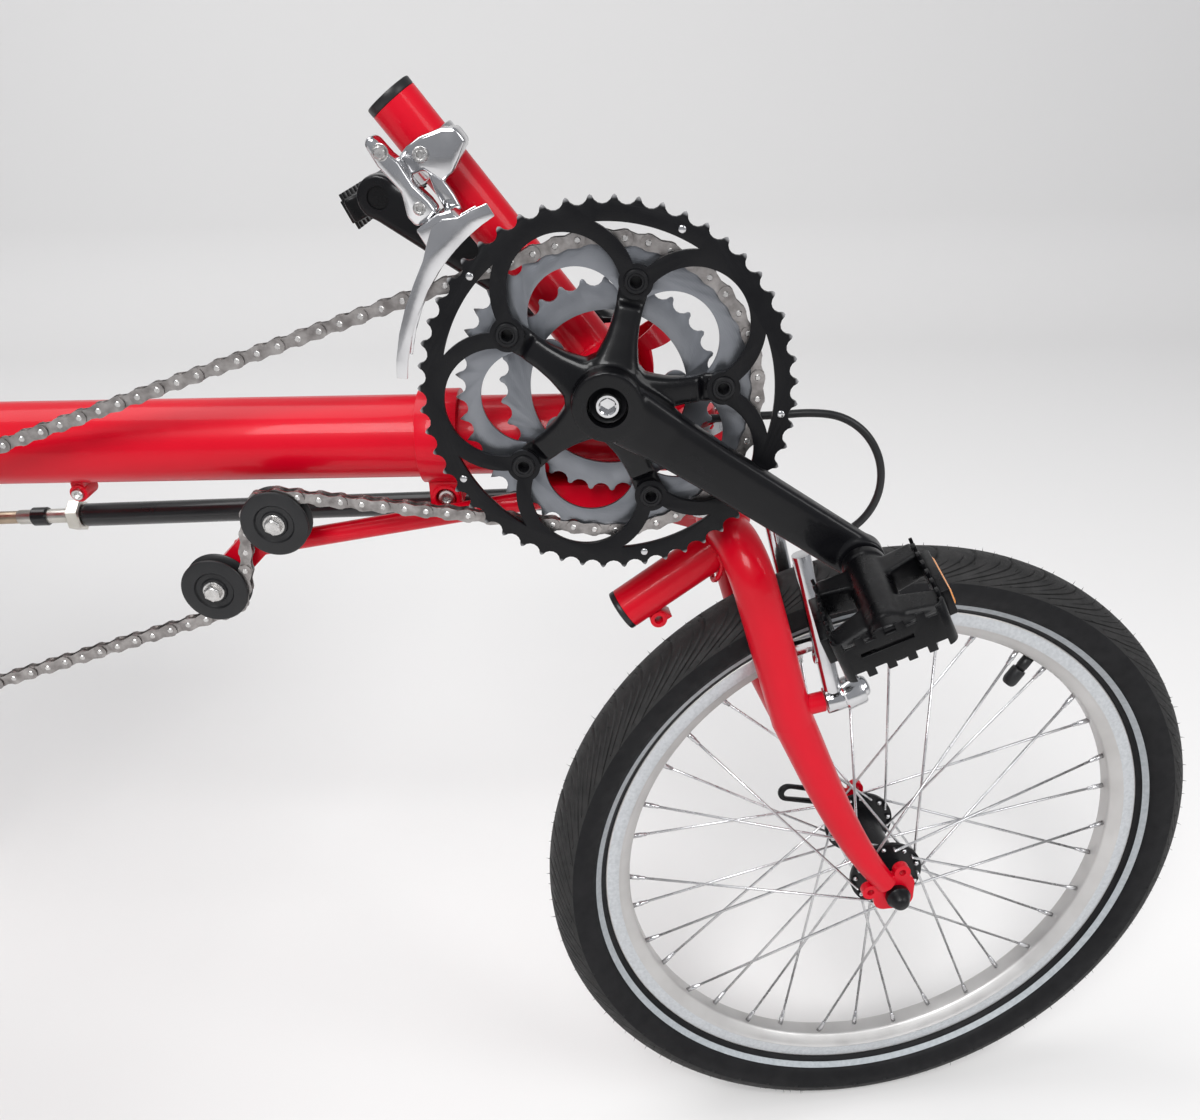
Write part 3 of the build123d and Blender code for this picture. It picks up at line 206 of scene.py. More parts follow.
SPOKE_STEEL = surface("spoke steel", (0.5, 0.5, 0.51), (0.68, 0.68, 0.69), (0.22, 0.36), metal=1.0,
                      scale=60.0)
CHAIN_STEEL = surface("chain steel", (0.2, 0.185, 0.18), (0.4, 0.38, 0.37), (0.28, 0.5), metal=1.0,
                      scale=160.0, bump_scale=1200.0)
PIN_STEEL = surface("pin steel", (0.45, 0.44, 0.43), (0.62, 0.61, 0.6), (0.2, 0.36), metal=1.0, scale=200.0)
ZINC = surface("zinc", (0.52, 0.5, 0.45), (0.66, 0.64, 0.6), (0.3, 0.45), metal=1.0, scale=60.0)
RUBBER = surface("rubber", (0.004, 0.004, 0.005), (0.008, 0.008, 0.009), (0.5, 0.65), scale=60.0,
                 bump_scale=1500.0, bump_strength=0.15, shine=0.2)
TREAD_RUBBER = surface("tread rubber", (0.011, 0.011, 0.011), (0.022, 0.021, 0.021), (0.55, 0.72), scale=90.0,
                       bump_scale=1800.0, bump_strength=0.25, shine=0.35)
STRIPE = surface("reflective stripe", (0.36, 0.39, 0.41), (0.46, 0.49, 0.51), (0.3, 0.45), scale=300.0,
                 bump_scale=2200.0, bump_strength=0.2)
PLASTIC = surface("black plastic", (0.008, 0.008, 0.009), (0.015, 0.015, 0.016), (0.30, 0.45), scale=30.0,
                  bump_scale=1500.0, shine=0.35)
FOAM = surface("foam", (0.02, 0.02, 0.021), (0.035, 0.035, 0.037), (0.8, 0.95), scale=200.0,
               bump_scale=2500.0, bump_strength=0.4)
SEAT_CLOTH = woven("seat cloth", (0.012, 0.012, 0.013), (0.04, 0.04, 0.043), 0.0016)

POLISHED = surface("polished alloy", (0.50, 0.50, 0.51), (0.66, 0.66, 0.67), (0.08, 0.20), metal=1.0,
                   scale=35.0, bump_scale=500.0, bump_strength=0.03)
AMBER = surface("amber lens", (0.75, 0.22, 0.01), (0.9, 0.33, 0.02), (0.15, 0.25), scale=900.0,
                bump_scale=1400.0, bump_strength=0.4, coat=0.6)
ROD_STEEL = surface("aged steel rod", (0.3, 0.22, 0.16), (0.46, 0.37, 0.28), (0.3, 0.45), metal=1.0,
                    scale=70.0)


def ring_material(name, dark, light, rough, metal, tip_colour, tip_start):
    # A turned chainring: fine rings round the axle, and patchy colour on the tips of the teeth, which on the black
    # ring is a painted highlight and on the silver ring is darker.
    material, tree, shader = new_material(name)
    shift = tree.nodes.new("ShaderNodeVectorMath")
    shift.operation = "SUBTRACT"
    tree.links.new(coordinates(tree), shift.inputs[0])
    shift.inputs[1].default_value = BRACKET
    flatten = tree.nodes.new("ShaderNodeVectorMath")
    flatten.operation = "MULTIPLY"
    flatten.inputs[1].default_value = (1.0, 0.0, 1.0)
    tree.links.new(shift.outputs[0], flatten.inputs[0])
    radius = tree.nodes.new("ShaderNodeVectorMath")
    radius.operation = "LENGTH"
    tree.links.new(flatten.outputs[0], radius.inputs[0])
    cloud = ramp(tree, noise(tree, 25.0), ((0.3, dark), (0.7, light)))
    # Mask of the teeth's tips, for the painted highlight on the black ring and the darker tips on the silver ring
    tip_mask = tree.nodes.new("ShaderNodeMapRange")
    tip_mask.inputs["From Min"].default_value = tip_start
    tip_mask.inputs["From Max"].default_value = tip_start + 0.0016
    tree.links.new(radius.outputs["Value"], tip_mask.inputs["Value"])
    patchy = tree.nodes.new("ShaderNodeMath")
    patchy.operation = "MULTIPLY"
    tree.links.new(tip_mask.outputs["Result"], patchy.inputs[0])
    tree.links.new(noise(tree, 350.0), patchy.inputs[1])
    mix = tree.nodes.new("ShaderNodeMix")
    mix.data_type = "RGBA"
    tree.links.new(patchy.outputs[0], mix.inputs["Factor"])
    tree.links.new(cloud, mix.inputs["A"])
    mix.inputs["B"].default_value = (*tip_colour, 1.0)
    tree.links.new(mix.outputs["Result"], shader.inputs["Base Color"])
    low, high = rough
    shade = ramp(tree, noise(tree, 140.0), ((0.3, (low,) * 3), (0.7, (high,) * 3)))
    tree.links.new(shade, shader.inputs["Roughness"])
    shader.inputs["Metallic"].default_value = metal
    shader.inputs["Specular IOR Level"].default_value = 0.2
    wave = tree.nodes.new("ShaderNodeTexWave")
    wave.wave_type = "RINGS"
    wave.rings_direction = "Y"
    wave.inputs["Scale"].default_value = 260.0
    tree.links.new(shift.outputs[0], wave.inputs["Vector"])
    bump(tree, shader, wave.outputs["Fac"], 0.06, 0.0004)
    return material


FORGED_BLACK = surface("forged black alloy", (0.0015, 0.0015, 0.002), (0.004, 0.004, 0.005), (0.24, 0.34),
                       scale=14.0, bump_scale=900.0, bump_strength=0.04, coat=0.15, shine=0.2)
PEDAL_BLACK = surface("cast black alloy", (0.001, 0.001, 0.0015), (0.003, 0.003, 0.0035), (0.22, 0.40),
                      scale=45.0, bump_scale=1300.0, bump_strength=0.08, coat=0.05, shine=0.2)
# The light grey tooth tips of the black ring are a painted highlight.
RING_BLACK = ring_material("black chainring", (0.002, 0.002, 0.003), (0.005, 0.005, 0.006), (0.34, 0.46), 0.0,
                           (0.45, 0.45, 0.46), 0.1052)
RING_SILVER = ring_material("silver chainring", (0.19, 0.20, 0.22), (0.24, 0.25, 0.27), (0.34, 0.42), 0.9,
                            (0.07, 0.06, 0.055), 0.0840)

SLOT_MATERIALS = {
    "red_paint": RED,
    "black_paint": BLACK_PAINT,
    "silver": SILVER,
    "black_alloy": BLACK_ALLOY,
    "zinc": ZINC,
    "steel": CHAIN_STEEL,
    "rubber": RUBBER,
    "black_plastic": PLASTIC,
    "foam": FOAM,
    "seat_cloth": SEAT_CLOTH,
}


def dress_nodes():
    for subpart in RECORD["subparts"]:
        node = NODES[subpart["node"]]
        node.data.materials.clear()
        node.data.materials.append(SLOT_MATERIALS[subpart["material_slot"]])


# Making pieces

def shade_smooth(mesh, sharp_angle=None):
    mesh.polygons.foreach_set("use_smooth", [True] * len(mesh.polygons))
    if sharp_angle is not None:
        mesh.set_sharp_from_angle(angle=radians(sharp_angle))


def declare(piece, body, hides):
    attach(piece, body)
    if hides:
        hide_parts(*hides)
    return piece


def add_piece(name, mesh, materials, body, hides=(), place=None, sharp_angle=None):
    piece = bpy.data.objects.new(name, mesh)
    for material in materials:
        mesh.materials.append(material)
    if place is not None:
        piece.matrix_world = place
    bpy.context.scene.collection.objects.link(piece)
    if sharp_angle is not None:
        mesh.set_sharp_from_angle(angle=radians(sharp_angle))
    return declare(piece, body, hides)


class Builder:
    # Collects vertices and faces, with a material number and a smooth flag for each face.
    def __init__(self):
        self.points, self.faces, self.kinds, self.smooth = [], [], [], []

    def add(self, points, faces, kind=0, smooth=True, place=None):
        start = len(self.points)
        self.points.extend(place @ Vector(point) for point in points) if place else self.points.extend(points)
        self.faces.extend(tuple(start + i for i in face) for face in faces)
        self.kinds.extend([kind] * len(faces))
        self.smooth.extend([smooth] * len(faces))

    def mesh(self, name):
        mesh = bpy.data.meshes.new(name)
        mesh.from_pydata([tuple(point) for point in self.points], [], self.faces)
        mesh.polygons.foreach_set("material_index", self.kinds)
        mesh.polygons.foreach_set("use_smooth", self.smooth)
        mesh.update()
        return mesh


def lathe(profile, sides, closed=False):
    # The profile lists (radius, height) up the Z axis. An open one is capped flat at both ends.
    count = len(profile)
    points = [(r * cos(2 * pi * i / sides), r * sin(2 * pi * i / sides), z)
              for i in range(sides) for r, z in profile]
    faces = []
    for i in range(sides):
        here, there = i * count, (i + 1) % sides * count
        for k in range(count if closed else count - 1):
            after = (k + 1) % count
            faces.append((here + k, there + k, there + after, here + after))
    if not closed:
        faces.append(tuple(i * count for i in reversed(range(sides))))
        faces.append(tuple(i * count + count - 1 for i in range(sides)))
    return points, faces


def along(start, end):
    # A matrix that carries the Z axis from the origin onto the line from start to end.
    start, end = Vector(start), Vector(end)
    turn = (end - start).to_track_quat("Z", "Y").to_matrix().to_4x4()
    return Matrix.Translation(start) @ turn


def wheel_place(joint_name, steered):
    # Local X and Z lie in the wheel's plane, and local Y is its axle.
    turn = Matrix.Rotation(STEER_REST, 4, STEER_AXIS) if steered else Matrix.Identity(4)
    return Matrix.Translation(Vector(JOINTS[joint_name]["pos_m"])) @ turn


# Tyres

TREAD_EDGE = 0.024
TREAD_HALF_WIDTH = 0.0234
# Each row: height above the rim's edge, half width, from the bead to the tread's edge
SIDEWALL = ((-0.0015, 0.0114), (0.0002, 0.0118), (0.0014, 0.0134), (0.0037, 0.0153), (0.0037, 0.0154),
            (0.0078, 0.0182), (0.0078, 0.0183), (0.0115, 0.0205), (0.0155, 0.0224), (0.0195, 0.0233),
            (0.0232, 0.0231))
STRIPE_ROW = 4
TREAD_ROWS = 12
# Each row: place along the pitch as a share, width and depth in metres, and the shares of the way from the
# shoulder to the crown where it starts and ends
GROOVES = ((0.04, 0.0022, 0.0019, 0.03, 0.93), (0.37, 0.0013, 0.0012, 0.3, 0.8),
           (0.68, 0.0015, 0.0013, 0.12, 0.6))
GROOVE_SWEEP = 0.052


def smooth_step(low, high, value):
    share = min(1.0, max(0.0, (value - low) / (high - low)))
    return share * share * (3.0 - 2.0 * share)


def groove_depth(number, across):
    start, end = GROOVES[number][3:]
    return GROOVES[number][2] * smooth_step(start - 0.04, start + 0.05, across) * (
        1.0 - smooth_step(end - 0.05, end + 0.04, across))


def tread_columns():
    # Places along one pitch, each with the groove it belongs to and whether it is at its bottom.
    columns = []
    for number, (share, width, *_) in enumerate(GROOVES):
        centre = share * TREAD_PITCH
        for offset, deep in ((-0.5, False), (-0.28, True), (0.28, True), (0.5, False)):
            columns.append((centre + offset * width, number, deep))
        after = GROOVES[(number + 1) % len(GROOVES)]
        gap_end = after[0] * TREAD_PITCH + (TREAD_PITCH if number == len(GROOVES) - 1 else 0.0) - after[1] / 2
        gap_start = centre + width / 2
        for part in (0.33, 0.67):
            columns.append((gap_start + (gap_end - gap_start) * part, number, False))
    return columns


def tyre_rows():
    # Height above the rim, width, and share across the tread (None on the sidewall), from bead to bead.
    right = [(height, -width, None) for height, width in SIDEWALL]
    tread_half = []
    for i in range(TREAD_ROWS + 1):
        across = i / TREAD_ROWS
        turn = pi / 2 * (0.06 + 0.94 * across)
        height = TREAD_EDGE + (TYRE_HEIGHT - TREAD_EDGE) * sin(turn)
        width = -TREAD_HALF_WIDTH * cos(turn) ** 0.92 if across < 1 else 0.0
        tread_half.append((height, width, across))
    half = right + tread_half
    return half + [(height, -width, across) for height, width, across in reversed(half[:-1])]


def make_tyre(name, joint_name, rim_r, node, steered):
    place = wheel_place(joint_name, steered)
    radius = rim_r + TYRE_HEIGHT
    pitches = round(2 * pi * radius / TREAD_PITCH)
    columns = tread_columns()
    rows = tyre_rows()
    total = pitches * len(columns)
    builder = Builder()
    points = []
    for i in range(total):
        offset, number, deep = columns[i % len(columns)]
        distance = (i // len(columns)) * TREAD_PITCH + offset
        for height, width, across in rows:
            sweep = GROOVE_SWEEP * (1.0 - (across or 0.0)) ** 2.2
            angle = (distance + sweep) / (pitches * TREAD_PITCH) * 2 * pi
            depth = groove_depth(number, across) if deep and across is not None else 0.0
            slant = atan2(abs(width), max(height - TYRE_HEIGHT / 2, 0.004))
            r = rim_r + height - depth * cos(slant)
            y = width - depth * sin(slant) * (1 if width > 0 else -1)
            points.append((r * cos(angle), y, r * sin(angle)))
    count = len(rows)
    faces, kinds = [], []
    for i in range(total):
        here, there = i * count, (i + 1) % total * count
        for k in range(count - 1):
            faces.append((here + k, here + k + 1, there + k + 1, there + k))
            stripe = k in (STRIPE_ROW, count - 2 - STRIPE_ROW)
            tread = rows[k][2] is not None and rows[k + 1][2] is not None
            kinds.append(1 if stripe else 2 if tread else 0)
        faces.append((here, there, there + count - 1, here + count - 1))
        kinds.append(0)
    builder.add(points, faces)
    builder.kinds = kinds
    add_vent_hairs(builder, radius, pitches)
    return add_piece(name, builder.mesh(name), (RUBBER, STRIPE, TREAD_RUBBER), node[1], hides=(node[0],),
                     place=place)


def add_vent_hairs(builder, radius, pitches):
    # Short moulding hairs stand on the tread, away from the place where the tyre meets the ground.
    chance = random.Random(7)
    ground_angle, ground_reach = -pi / 2, 0.16
    for across in (-0.82, -0.42, 0.0, 0.42, 0.82):
        for i in range(pitches * 2):
            angle = (i + chance.random() * 0.5) * pi / pitches
            if abs((angle - ground_angle + pi) % (2 * pi) - pi) < ground_reach:
                continue
            turn = across * pi / 2
            r = radius - (TYRE_HEIGHT - TREAD_EDGE) * (1 - cos(turn)) - 0.0004
            y = TREAD_HALF_WIDTH * sin(turn)
            base = Vector((r * cos(angle), y, r * sin(angle)))
            out = Vector((cos(angle) * cos(turn), sin(turn), sin(angle) * cos(turn)))
            tip = base + out * chance.uniform(0.0018, 0.0042) + Vector(
                [chance.uniform(-0.0008, 0.0008) for _ in range(3)])
            side = out.orthogonal().normalized() * 0.00038
            other = out.cross(side)
            corners = [base + side, base - side / 2 + other * 0.87, base - side / 2 - other * 0.87, tip]
            builder.add(corners, ((0, 1, 3), (1, 2, 3), (2, 0, 3), (0, 2, 1)), kind=2, smooth=False)


# Rims, spokes and valves

def make_rim(name, joint_name, rim_r, node, body, steered):
    half, inner = RIM_HALF_WIDTH, rim_r - RIM_DEPTH
    # Each row: radius, half width. The brake track is the flat stretch at full width.
    right = ((rim_r - 0.0075, 0.0), (rim_r - 0.0075, 0.0042), (rim_r - 0.0055, half - 0.0022),
             (rim_r - 0.0006, half - 0.002), (rim_r, half - 0.0012), (rim_r - 0.0004, half - 0.0001),
             (rim_r - 0.0012, half), (rim_r - 0.0098, half), (rim_r - 0.0102, half - 0.0004),
             (rim_r - 0.0122, half - 0.0016), (inner + 0.0015, 0.0076), (inner + 0.0004, 0.0064),
             (inner, 0.005), (inner, 0.0))
    profile = [(r, -y) for r, y in right] + [(r, y) for r, y in reversed(right[1:-1])]
    sides = 160
    points, faces = lathe(profile, sides, closed=True)
    points = [(x, z, y) for x, y, z in points]
    builder = Builder()
    builder.add(points, [tuple(reversed(face)) for face in faces])
    count = len(profile)
    for i, face in enumerate(builder.faces):
        k = i % count
        y1, y2 = profile[k][1], profile[(k + 1) % count][1]
        flat = abs(y1) > half - 0.00005 and abs(y2) > half - 0.00005
        builder.kinds[i] = 1 if flat else 0
    return add_piece(name, builder.mesh(name), (RIM_BODY, RIM_TRACK), body, hides=(node,),
                     place=wheel_place(joint_name, steered))


def spoke_ends(rim_r, flange_r, flanges, number):
    per_side = SPOKE_COUNT // 2
    side, index = number % 2, number // 2
    heading = 1 if index % 2 else -1
    bed_angle = 2 * pi * number / SPOKE_COUNT
    flange_angle = bed_angle + heading * 3 * 2 * pi / per_side
    outward = 1 if flanges[side] > 0 else -1
    flange_y = flanges[side] + outward * (0.0044 if index % 2 else -0.0024)
    start = Vector((flange_r * cos(flange_angle), flange_y, flange_r * sin(flange_angle)))
    bed_r = rim_r - RIM_DEPTH + 0.0008
    end = Vector((bed_r * cos(bed_angle), 0.0025 if side else -0.0025, bed_r * sin(bed_angle)))
    return start, end, flanges[side]


def make_spokes(name, joint_name, rim_r, flange_r, flanges, node, body, steered):
    builder = Builder()
    nipple = ((0.0, 0.0), (0.0019, 0.0), (0.0019, 0.0085), (0.0015, 0.0092), (0.0015, 0.0125),
              (0.0011, 0.013), (0.0, 0.013))
    for number in range(SPOKE_COUNT):
        start, end, flange_y = spoke_ends(rim_r, flange_r, flanges, number)
        length = (end - start).length
        wire = ((0.0, -0.0004), (SPOKE_R * 0.8, 0.0), (SPOKE_R, 0.0008), (SPOKE_R, length), (0.0, length))
        builder.add(*lathe(wire, 8), place=along(start, end))
        builder.add(*lathe(nipple, 10), kind=1, place=along(end, start))
        outward = 1 if start.y > flange_y else -1
        elbow = Vector((start.x, flange_y - outward * 0.0032, start.z))
        reach = (start - elbow).length
        neck = ((0.0, 0.0), (SPOKE_R, 0.0002), (SPOKE_R, reach + SPOKE_R * 0.7), (0.0, reach + SPOKE_R))
        builder.add(*lathe(neck, 8), place=along(elbow, start))
        head = ((0.0, -0.0006), (0.0014, -0.0004), (0.0019, 0.0004), (0.0019, 0.0008), (0.0, 0.0008))
        builder.add(*lathe(head, 10), place=along(elbow, start))
    return add_piece(name, builder.mesh(name), (SPOKE_STEEL, SILVER), body, hides=(node,),
                     place=wheel_place(joint_name, steered))


def make_valve(name, joint_name, rim_r, angle, body, steered):
    builder = Builder()
    inner = rim_r - RIM_DEPTH
    stem = ((0.0, 0.0), (0.0042, 0.0), (0.0042, 0.010), (0.0039, 0.0105), (0.0039, 0.0125), (0.0, 0.0125))
    cap = ((0.0, 0.0), (0.0052, 0.0), (0.0055, 0.0012), (0.0055, 0.0105), (0.0048, 0.0128), (0.0036, 0.0142),
           (0.0, 0.0145))
    out = Vector((cos(angle), 0.0, sin(angle)))
    builder.add(*lathe(stem, 20), place=along(out * (inner + 0.001), out * (inner - 0.01)))
    builder.add(*lathe(cap, 24), place=along(out * (inner - 0.0115), out * (inner - 0.02)))
    return add_piece(name, builder.mesh(name), (PLASTIC,), body,
                     place=wheel_place(joint_name, steered))


# Chain

def pitch_radius(teeth):
    return CHAIN_PITCH / (2 * sin(pi / teeth))


# Each row: centre x and z from the bottom bracket, pitch radius, turn (1 clockwise seen from the right side)
CHAIN_CIRCLES = (
    (0.0, 0.0, pitch_radius(42), 1),
    (*UPPER_IDLER, 0.0175, -1),
    (*LOWER_IDLER, 0.0175, 1),
    (-1.044, -0.361, 0.0205, 1),
    (-1.096, -0.372, 0.0205, -1),
    (-1.100, -0.305, pitch_radius(18), 1),
)


def chain_pins():
    # The chain's pins in order, as (x, z) from the bottom bracket, evenly spaced along its path.
    count = len(CHAIN_CIRCLES)
    pieces = []
    directions = []
    for i in range(count):
        x1, z1, r1, turn1 = CHAIN_CIRCLES[i]
        x2, z2, r2, turn2 = CHAIN_CIRCLES[(i + 1) % count]
        span = hypot(x2 - x1, z2 - z1)
        directions.append(atan2(z2 - z1, x2 - x1) - asin((turn1 * r1 - turn2 * r2) / span))
    for i in range(count):
        x, z, r, turn = CHAIN_CIRCLES[i]
        arrive, leave = directions[i - 1], directions[i]
        sweep = (turn * (arrive - leave)) % (2 * pi)
        pieces.append((r * sweep, x, z, r, arrive + turn * pi / 2, -turn * sweep))
        x2, z2, r2, turn2 = CHAIN_CIRCLES[(i + 1) % count]
        start = (x - turn * r * sin(leave), z + turn * r * cos(leave))
        end = (x2 - turn2 * r2 * sin(leave), z2 + turn2 * r2 * cos(leave))
        pieces.append((hypot(end[0] - start[0], end[1] - start[1]), *start, *end))
    total = sum(piece[0] for piece in pieces)
    links = 2 * round(total / CHAIN_PITCH / 2)
    pins = []
    for i in range(links):
        distance = total * i / links
        for piece in pieces:
            if distance <= piece[0]:
                break
            distance -= piece[0]
        share = distance / piece[0]
        if len(piece) == 5:
            x1, z1, x2, z2 = piece[1:]
            pins.append((x1 + share * (x2 - x1), z1 + share * (z2 - z1)))
        else:
            x, z, r, start, sweep = piece[1:]
            pins.append((x + r * cos(start + sweep * share), z + r * sin(start + sweep * share)))
    return pins


def link_plate(y_low, y_high, half_height, length):
    # A figure-eight plate in local X and Z, between two Y places.
    outline = []
    for centre, first in ((length, -100.0), (0.0, 80.0)):
        for i in range(8):
            angle = radians(first + i * 200.0 / 7)
            outline.append((centre + half_height * cos(angle), half_height * sin(angle)))
        outline.append((length / 2, half_height * (0.72 if centre else -0.72)))
    points = [(x, y_low, z) for x, z in outline] + [(x, y_high, z) for x, z in outline]
    count = len(outline)
    faces = [tuple(range(count)), tuple(reversed(range(count, 2 * count)))]
    sides = [((i + 1) % count, i, i + count, (i + 1) % count + count) for i in range(count)]
    return points, faces + sides


def make_chain():
    builder = Builder()
    pins = chain_pins()
    roller = ((0.0, -0.0012), (0.0034, -0.0012), (0.00385, -0.0008), (0.00385, 0.0008), (0.0034, 0.0012),
              (0.0, 0.0012))
    pin = ((0.0, -0.0034), (0.0014, -0.0034), (0.0018, -0.0031), (0.0018, 0.0031), (0.0014, 0.0034),
           (0.0, 0.0034))
    for i, (x, z) in enumerate(pins):
        x2, z2 = pins[(i + 1) % len(pins)]
        heading = atan2(z2 - z, x2 - x)
        length = hypot(x2 - x, z2 - z)
        place = Matrix.Translation(BRACKET + Vector((x, CHAIN_Y, z))) @ Matrix.Rotation(-heading, 4, "Y")
        inner, outer = (0.00125, 0.0022) if i % 2 else (0.0023, 0.0031)
        half_height = 0.0040 if i % 2 else 0.0043
        for side in (-1, 1):
            low, high = sorted((side * inner, side * outer))
            points, faces = link_plate(low, high, half_height, length)
            builder.add(points, faces, smooth=False, place=place)
        axle = place @ Matrix.Rotation(pi / 2, 4, "X")
        builder.add(*lathe(roller, 12), place=axle)
        builder.add(*lathe(pin, 10), kind=1, smooth=False, place=axle)
    return add_piece("chain_links", builder.mesh("chain_links"), (CHAIN_STEEL, PIN_STEEL), "frame",
                     hides=("chain",))


# Rounded copies of the rigid solids

def softened(node, width, body, material, segments=2, angle=28.0):
    # A copy of a solid whose edges are rounded, as on cast, forged and stamped pieces.
    shape = bmesh.new()
    shape.from_mesh(NODES[node].data)
    bmesh.ops.remove_doubles(shape, verts=shape.verts, dist=1e-6)
    bmesh.ops.dissolve_limit(shape, angle_limit=radians(1.0), verts=shape.verts, edges=shape.edges)
    mesh = bpy.data.meshes.new(node + "_rounded")
    shape.to_mesh(mesh)
    shape.free()
    for layer in [item for item in mesh.attributes if item.name == "custom_normal"]:
        mesh.attributes.remove(layer)
    mesh.materials.clear()
    piece = add_piece(node + "_rounded", mesh, (), body, hides=(node,))
    mesh = apply_modifier(piece, "BEVEL", width=width, segments=segments, limit_method="ANGLE",
                          angle_limit=radians(angle))
    mesh.polygons.foreach_set("material_index", [0] * len(mesh.polygons))
    shade_smooth(mesh, 38.0)
    mesh.materials.clear()
    mesh.materials.append(material)
    return piece


# Each row: node, body, edge radius in metres, material, slot
ROUNDED = (
    ("rear_derailleur", "frame", 0.0007, POLISHED, "silver"),
    ("front_brake", "fork", 0.0011, POLISHED, "silver"),
    ("boom_clamp", "frame", 0.0009, RED, "red_paint"),
    ("cassette", "rear_wheel", 0.0002, SILVER, "silver"),
    ("bottom_bracket", "frame", 0.0006, BLACK_ALLOY, "black_alloy"),
    ("brake_levers", "handlebar", 0.0015, BLACK_ALLOY, "black_alloy"),
    ("post_cap", "frame", 0.0012, PLASTIC, "black_plastic"),
    ("fork_stub_cap", "fork", 0.0010, PLASTIC, "black_plastic"),
    ("grips", "handlebar", 0.0025, FOAM, "foam"),
)


def round_solids():
    for node, body, width, material, slot in ROUNDED:
        softened(node, width, body, material)


# Small turned pieces

def hex_reach(apothem, angle):
    return apothem / cos((angle + pi / 6) % (pi / 3) - pi / 6)


def turned(rings, sides=24):
    # Each ring: radius, height, and True where it is a hexagon of that half width. The ends are closed.
    points = []
    for radius, height, *hexagon in rings:
        for i in range(sides):
            angle = 2 * pi * i / sides
            reach = hex_reach(radius, angle) if hexagon else radius
            points.append((reach * cos(angle), reach * sin(angle), height))
    faces = []
    for k in range(len(rings) - 1):
        low, high = k * sides, (k + 1) * sides
        faces += [(low + i, low + (i + 1) % sides, high + (i + 1) % sides, high + i) for i in range(sides)]
    last = (len(rings) - 1) * sides
    return points, faces + [tuple(reversed(range(sides))), tuple(last + i for i in range(sides))]


def socket_bolt(radius, height):
    # A round head with a hexagonal socket
    lip, socket = radius * 0.14, radius * 0.46
    return turned(((radius, 0.0), (radius, height - lip), (radius - lip, height),
                   (socket + lip, height), (socket, height - lip * 0.5, True), (socket, height * 0.35, True)))


def hex_bolt(radius, height):
    # A washer under a six-sided head with a chamfered top
    washer = height * 0.22
    return turned(((radius * 1.45, 0.0), (radius * 1.45, washer * 0.8), (radius * 1.35, washer),
                   (radius, washer, True), (radius, height * 0.88, True), (radius * 0.86, height)))


def steer_place():
    foot = Vector(JOINTS["steering"]["pos_m"])
    turn = Matrix.Rotation(STEER_REST, 4, STEER_AXIS)
    return Matrix.Translation(foot) @ turn @ Matrix.Translation(-foot)


def near_bracket(x, y, z):
    return BRACKET + Vector((x, y, z))


# Each row: place from the bottom bracket, direction that its head faces, kind, radius and height in metres.
FRAME_BOLTS = (
    ((*UPPER_IDLER, IDLER_FACE_Y), (0, -1, 0), "hex", 0.0045, 0.0050),
    ((*LOWER_IDLER, IDLER_FACE_Y), (0, -1, 0), "hex", 0.0045, 0.0050),
    ((-0.1055, -0.077, -0.0065), (0, -1, 0), "socket", 0.0055, 0.0050),
    ((-0.0955, 0.1255, -0.0300), (0, -1, 0), "socket", 0.0042, 0.0035),
    ((-0.1135, 0.1285, -0.0460), (0, -1, 0), "hex", 0.0030, 0.0034),
    ((-0.0960, 0.1010, -0.0460), (0, -1, 0), "socket", 0.0034, 0.0030),
    ((-0.3380, -0.0710, -0.0080), (0, -1, 0), "socket", 0.0036, 0.0030),
)


def make_frame_bolts():
    builder = Builder()
    for (x, z, y), direction, kind, radius, height in FRAME_BOLTS:
        start = near_bracket(x, y, z)
        place = along(start, start + Vector(direction))
        head = socket_bolt(radius, height) if kind == "socket" else hex_bolt(radius, height)
        builder.add(*head, smooth=False, place=place)
    return add_piece("frame_bolts", builder.mesh("frame_bolts"), (PIN_STEEL,), "frame")


def make_shift_pins():
    # Small rivets near the outer ring's edge help the chain up.
    builder = Builder()
    pin = turned(((0.0023, 0.0), (0.0023, 0.0006), (0.0016, 0.0011)), 16)
    for i in range(5):
        angle = radians(SPIDER_PHASE - 10.0 + 72.0 * i)
        start = near_bracket(0.0985 * cos(angle), OUTER_RING_FACE_Y, 0.0985 * sin(angle))
        builder.add(*pin, place=along(start, start + Vector((0, -1, 0))))
    return add_piece("shift_pins", builder.mesh("shift_pins"), (POLISHED,), "cranks")


def make_reflector(side):
    # An amber strip lies in the holder on one long side of the pedal.
    body = body_of(side)
    angle = radians(CRANK_ANGLE) + (pi if side > 0 else 0.0)
    centre = near_bracket(CRANK_LENGTH * cos(angle), side * PEDAL_MIDDLE_Y, CRANK_LENGTH * sin(angle))
    corners = []
    for x, shrink in ((0.0346, 0.0), (0.0356, 0.0), (0.0361, 0.0009)):
        for y, z in ((-0.019, -0.0045), (0.019, -0.0045), (0.019, 0.0045), (-0.019, 0.0045)):
            corners.append((x, y - shrink * (1 if y > 0 else -1), z - shrink * (1 if z > 0 else -1)))
    faces = [(3, 2, 1, 0), (8, 9, 10, 11)]
    for k in (0, 4):
        faces += [(k + i, k + (i + 1) % 4, k + 4 + (i + 1) % 4, k + 4 + i) for i in range(4)]
    builder = Builder()
    strip = Matrix.Translation(centre) @ Matrix.Rotation(-PEDAL_ANGLE, 4, "Y")
    builder.add(corners, faces, smooth=False, place=strip)
    return add_piece(body + "_reflectors", builder.mesh(body + "_reflectors"), (AMBER,), body)


# Welds

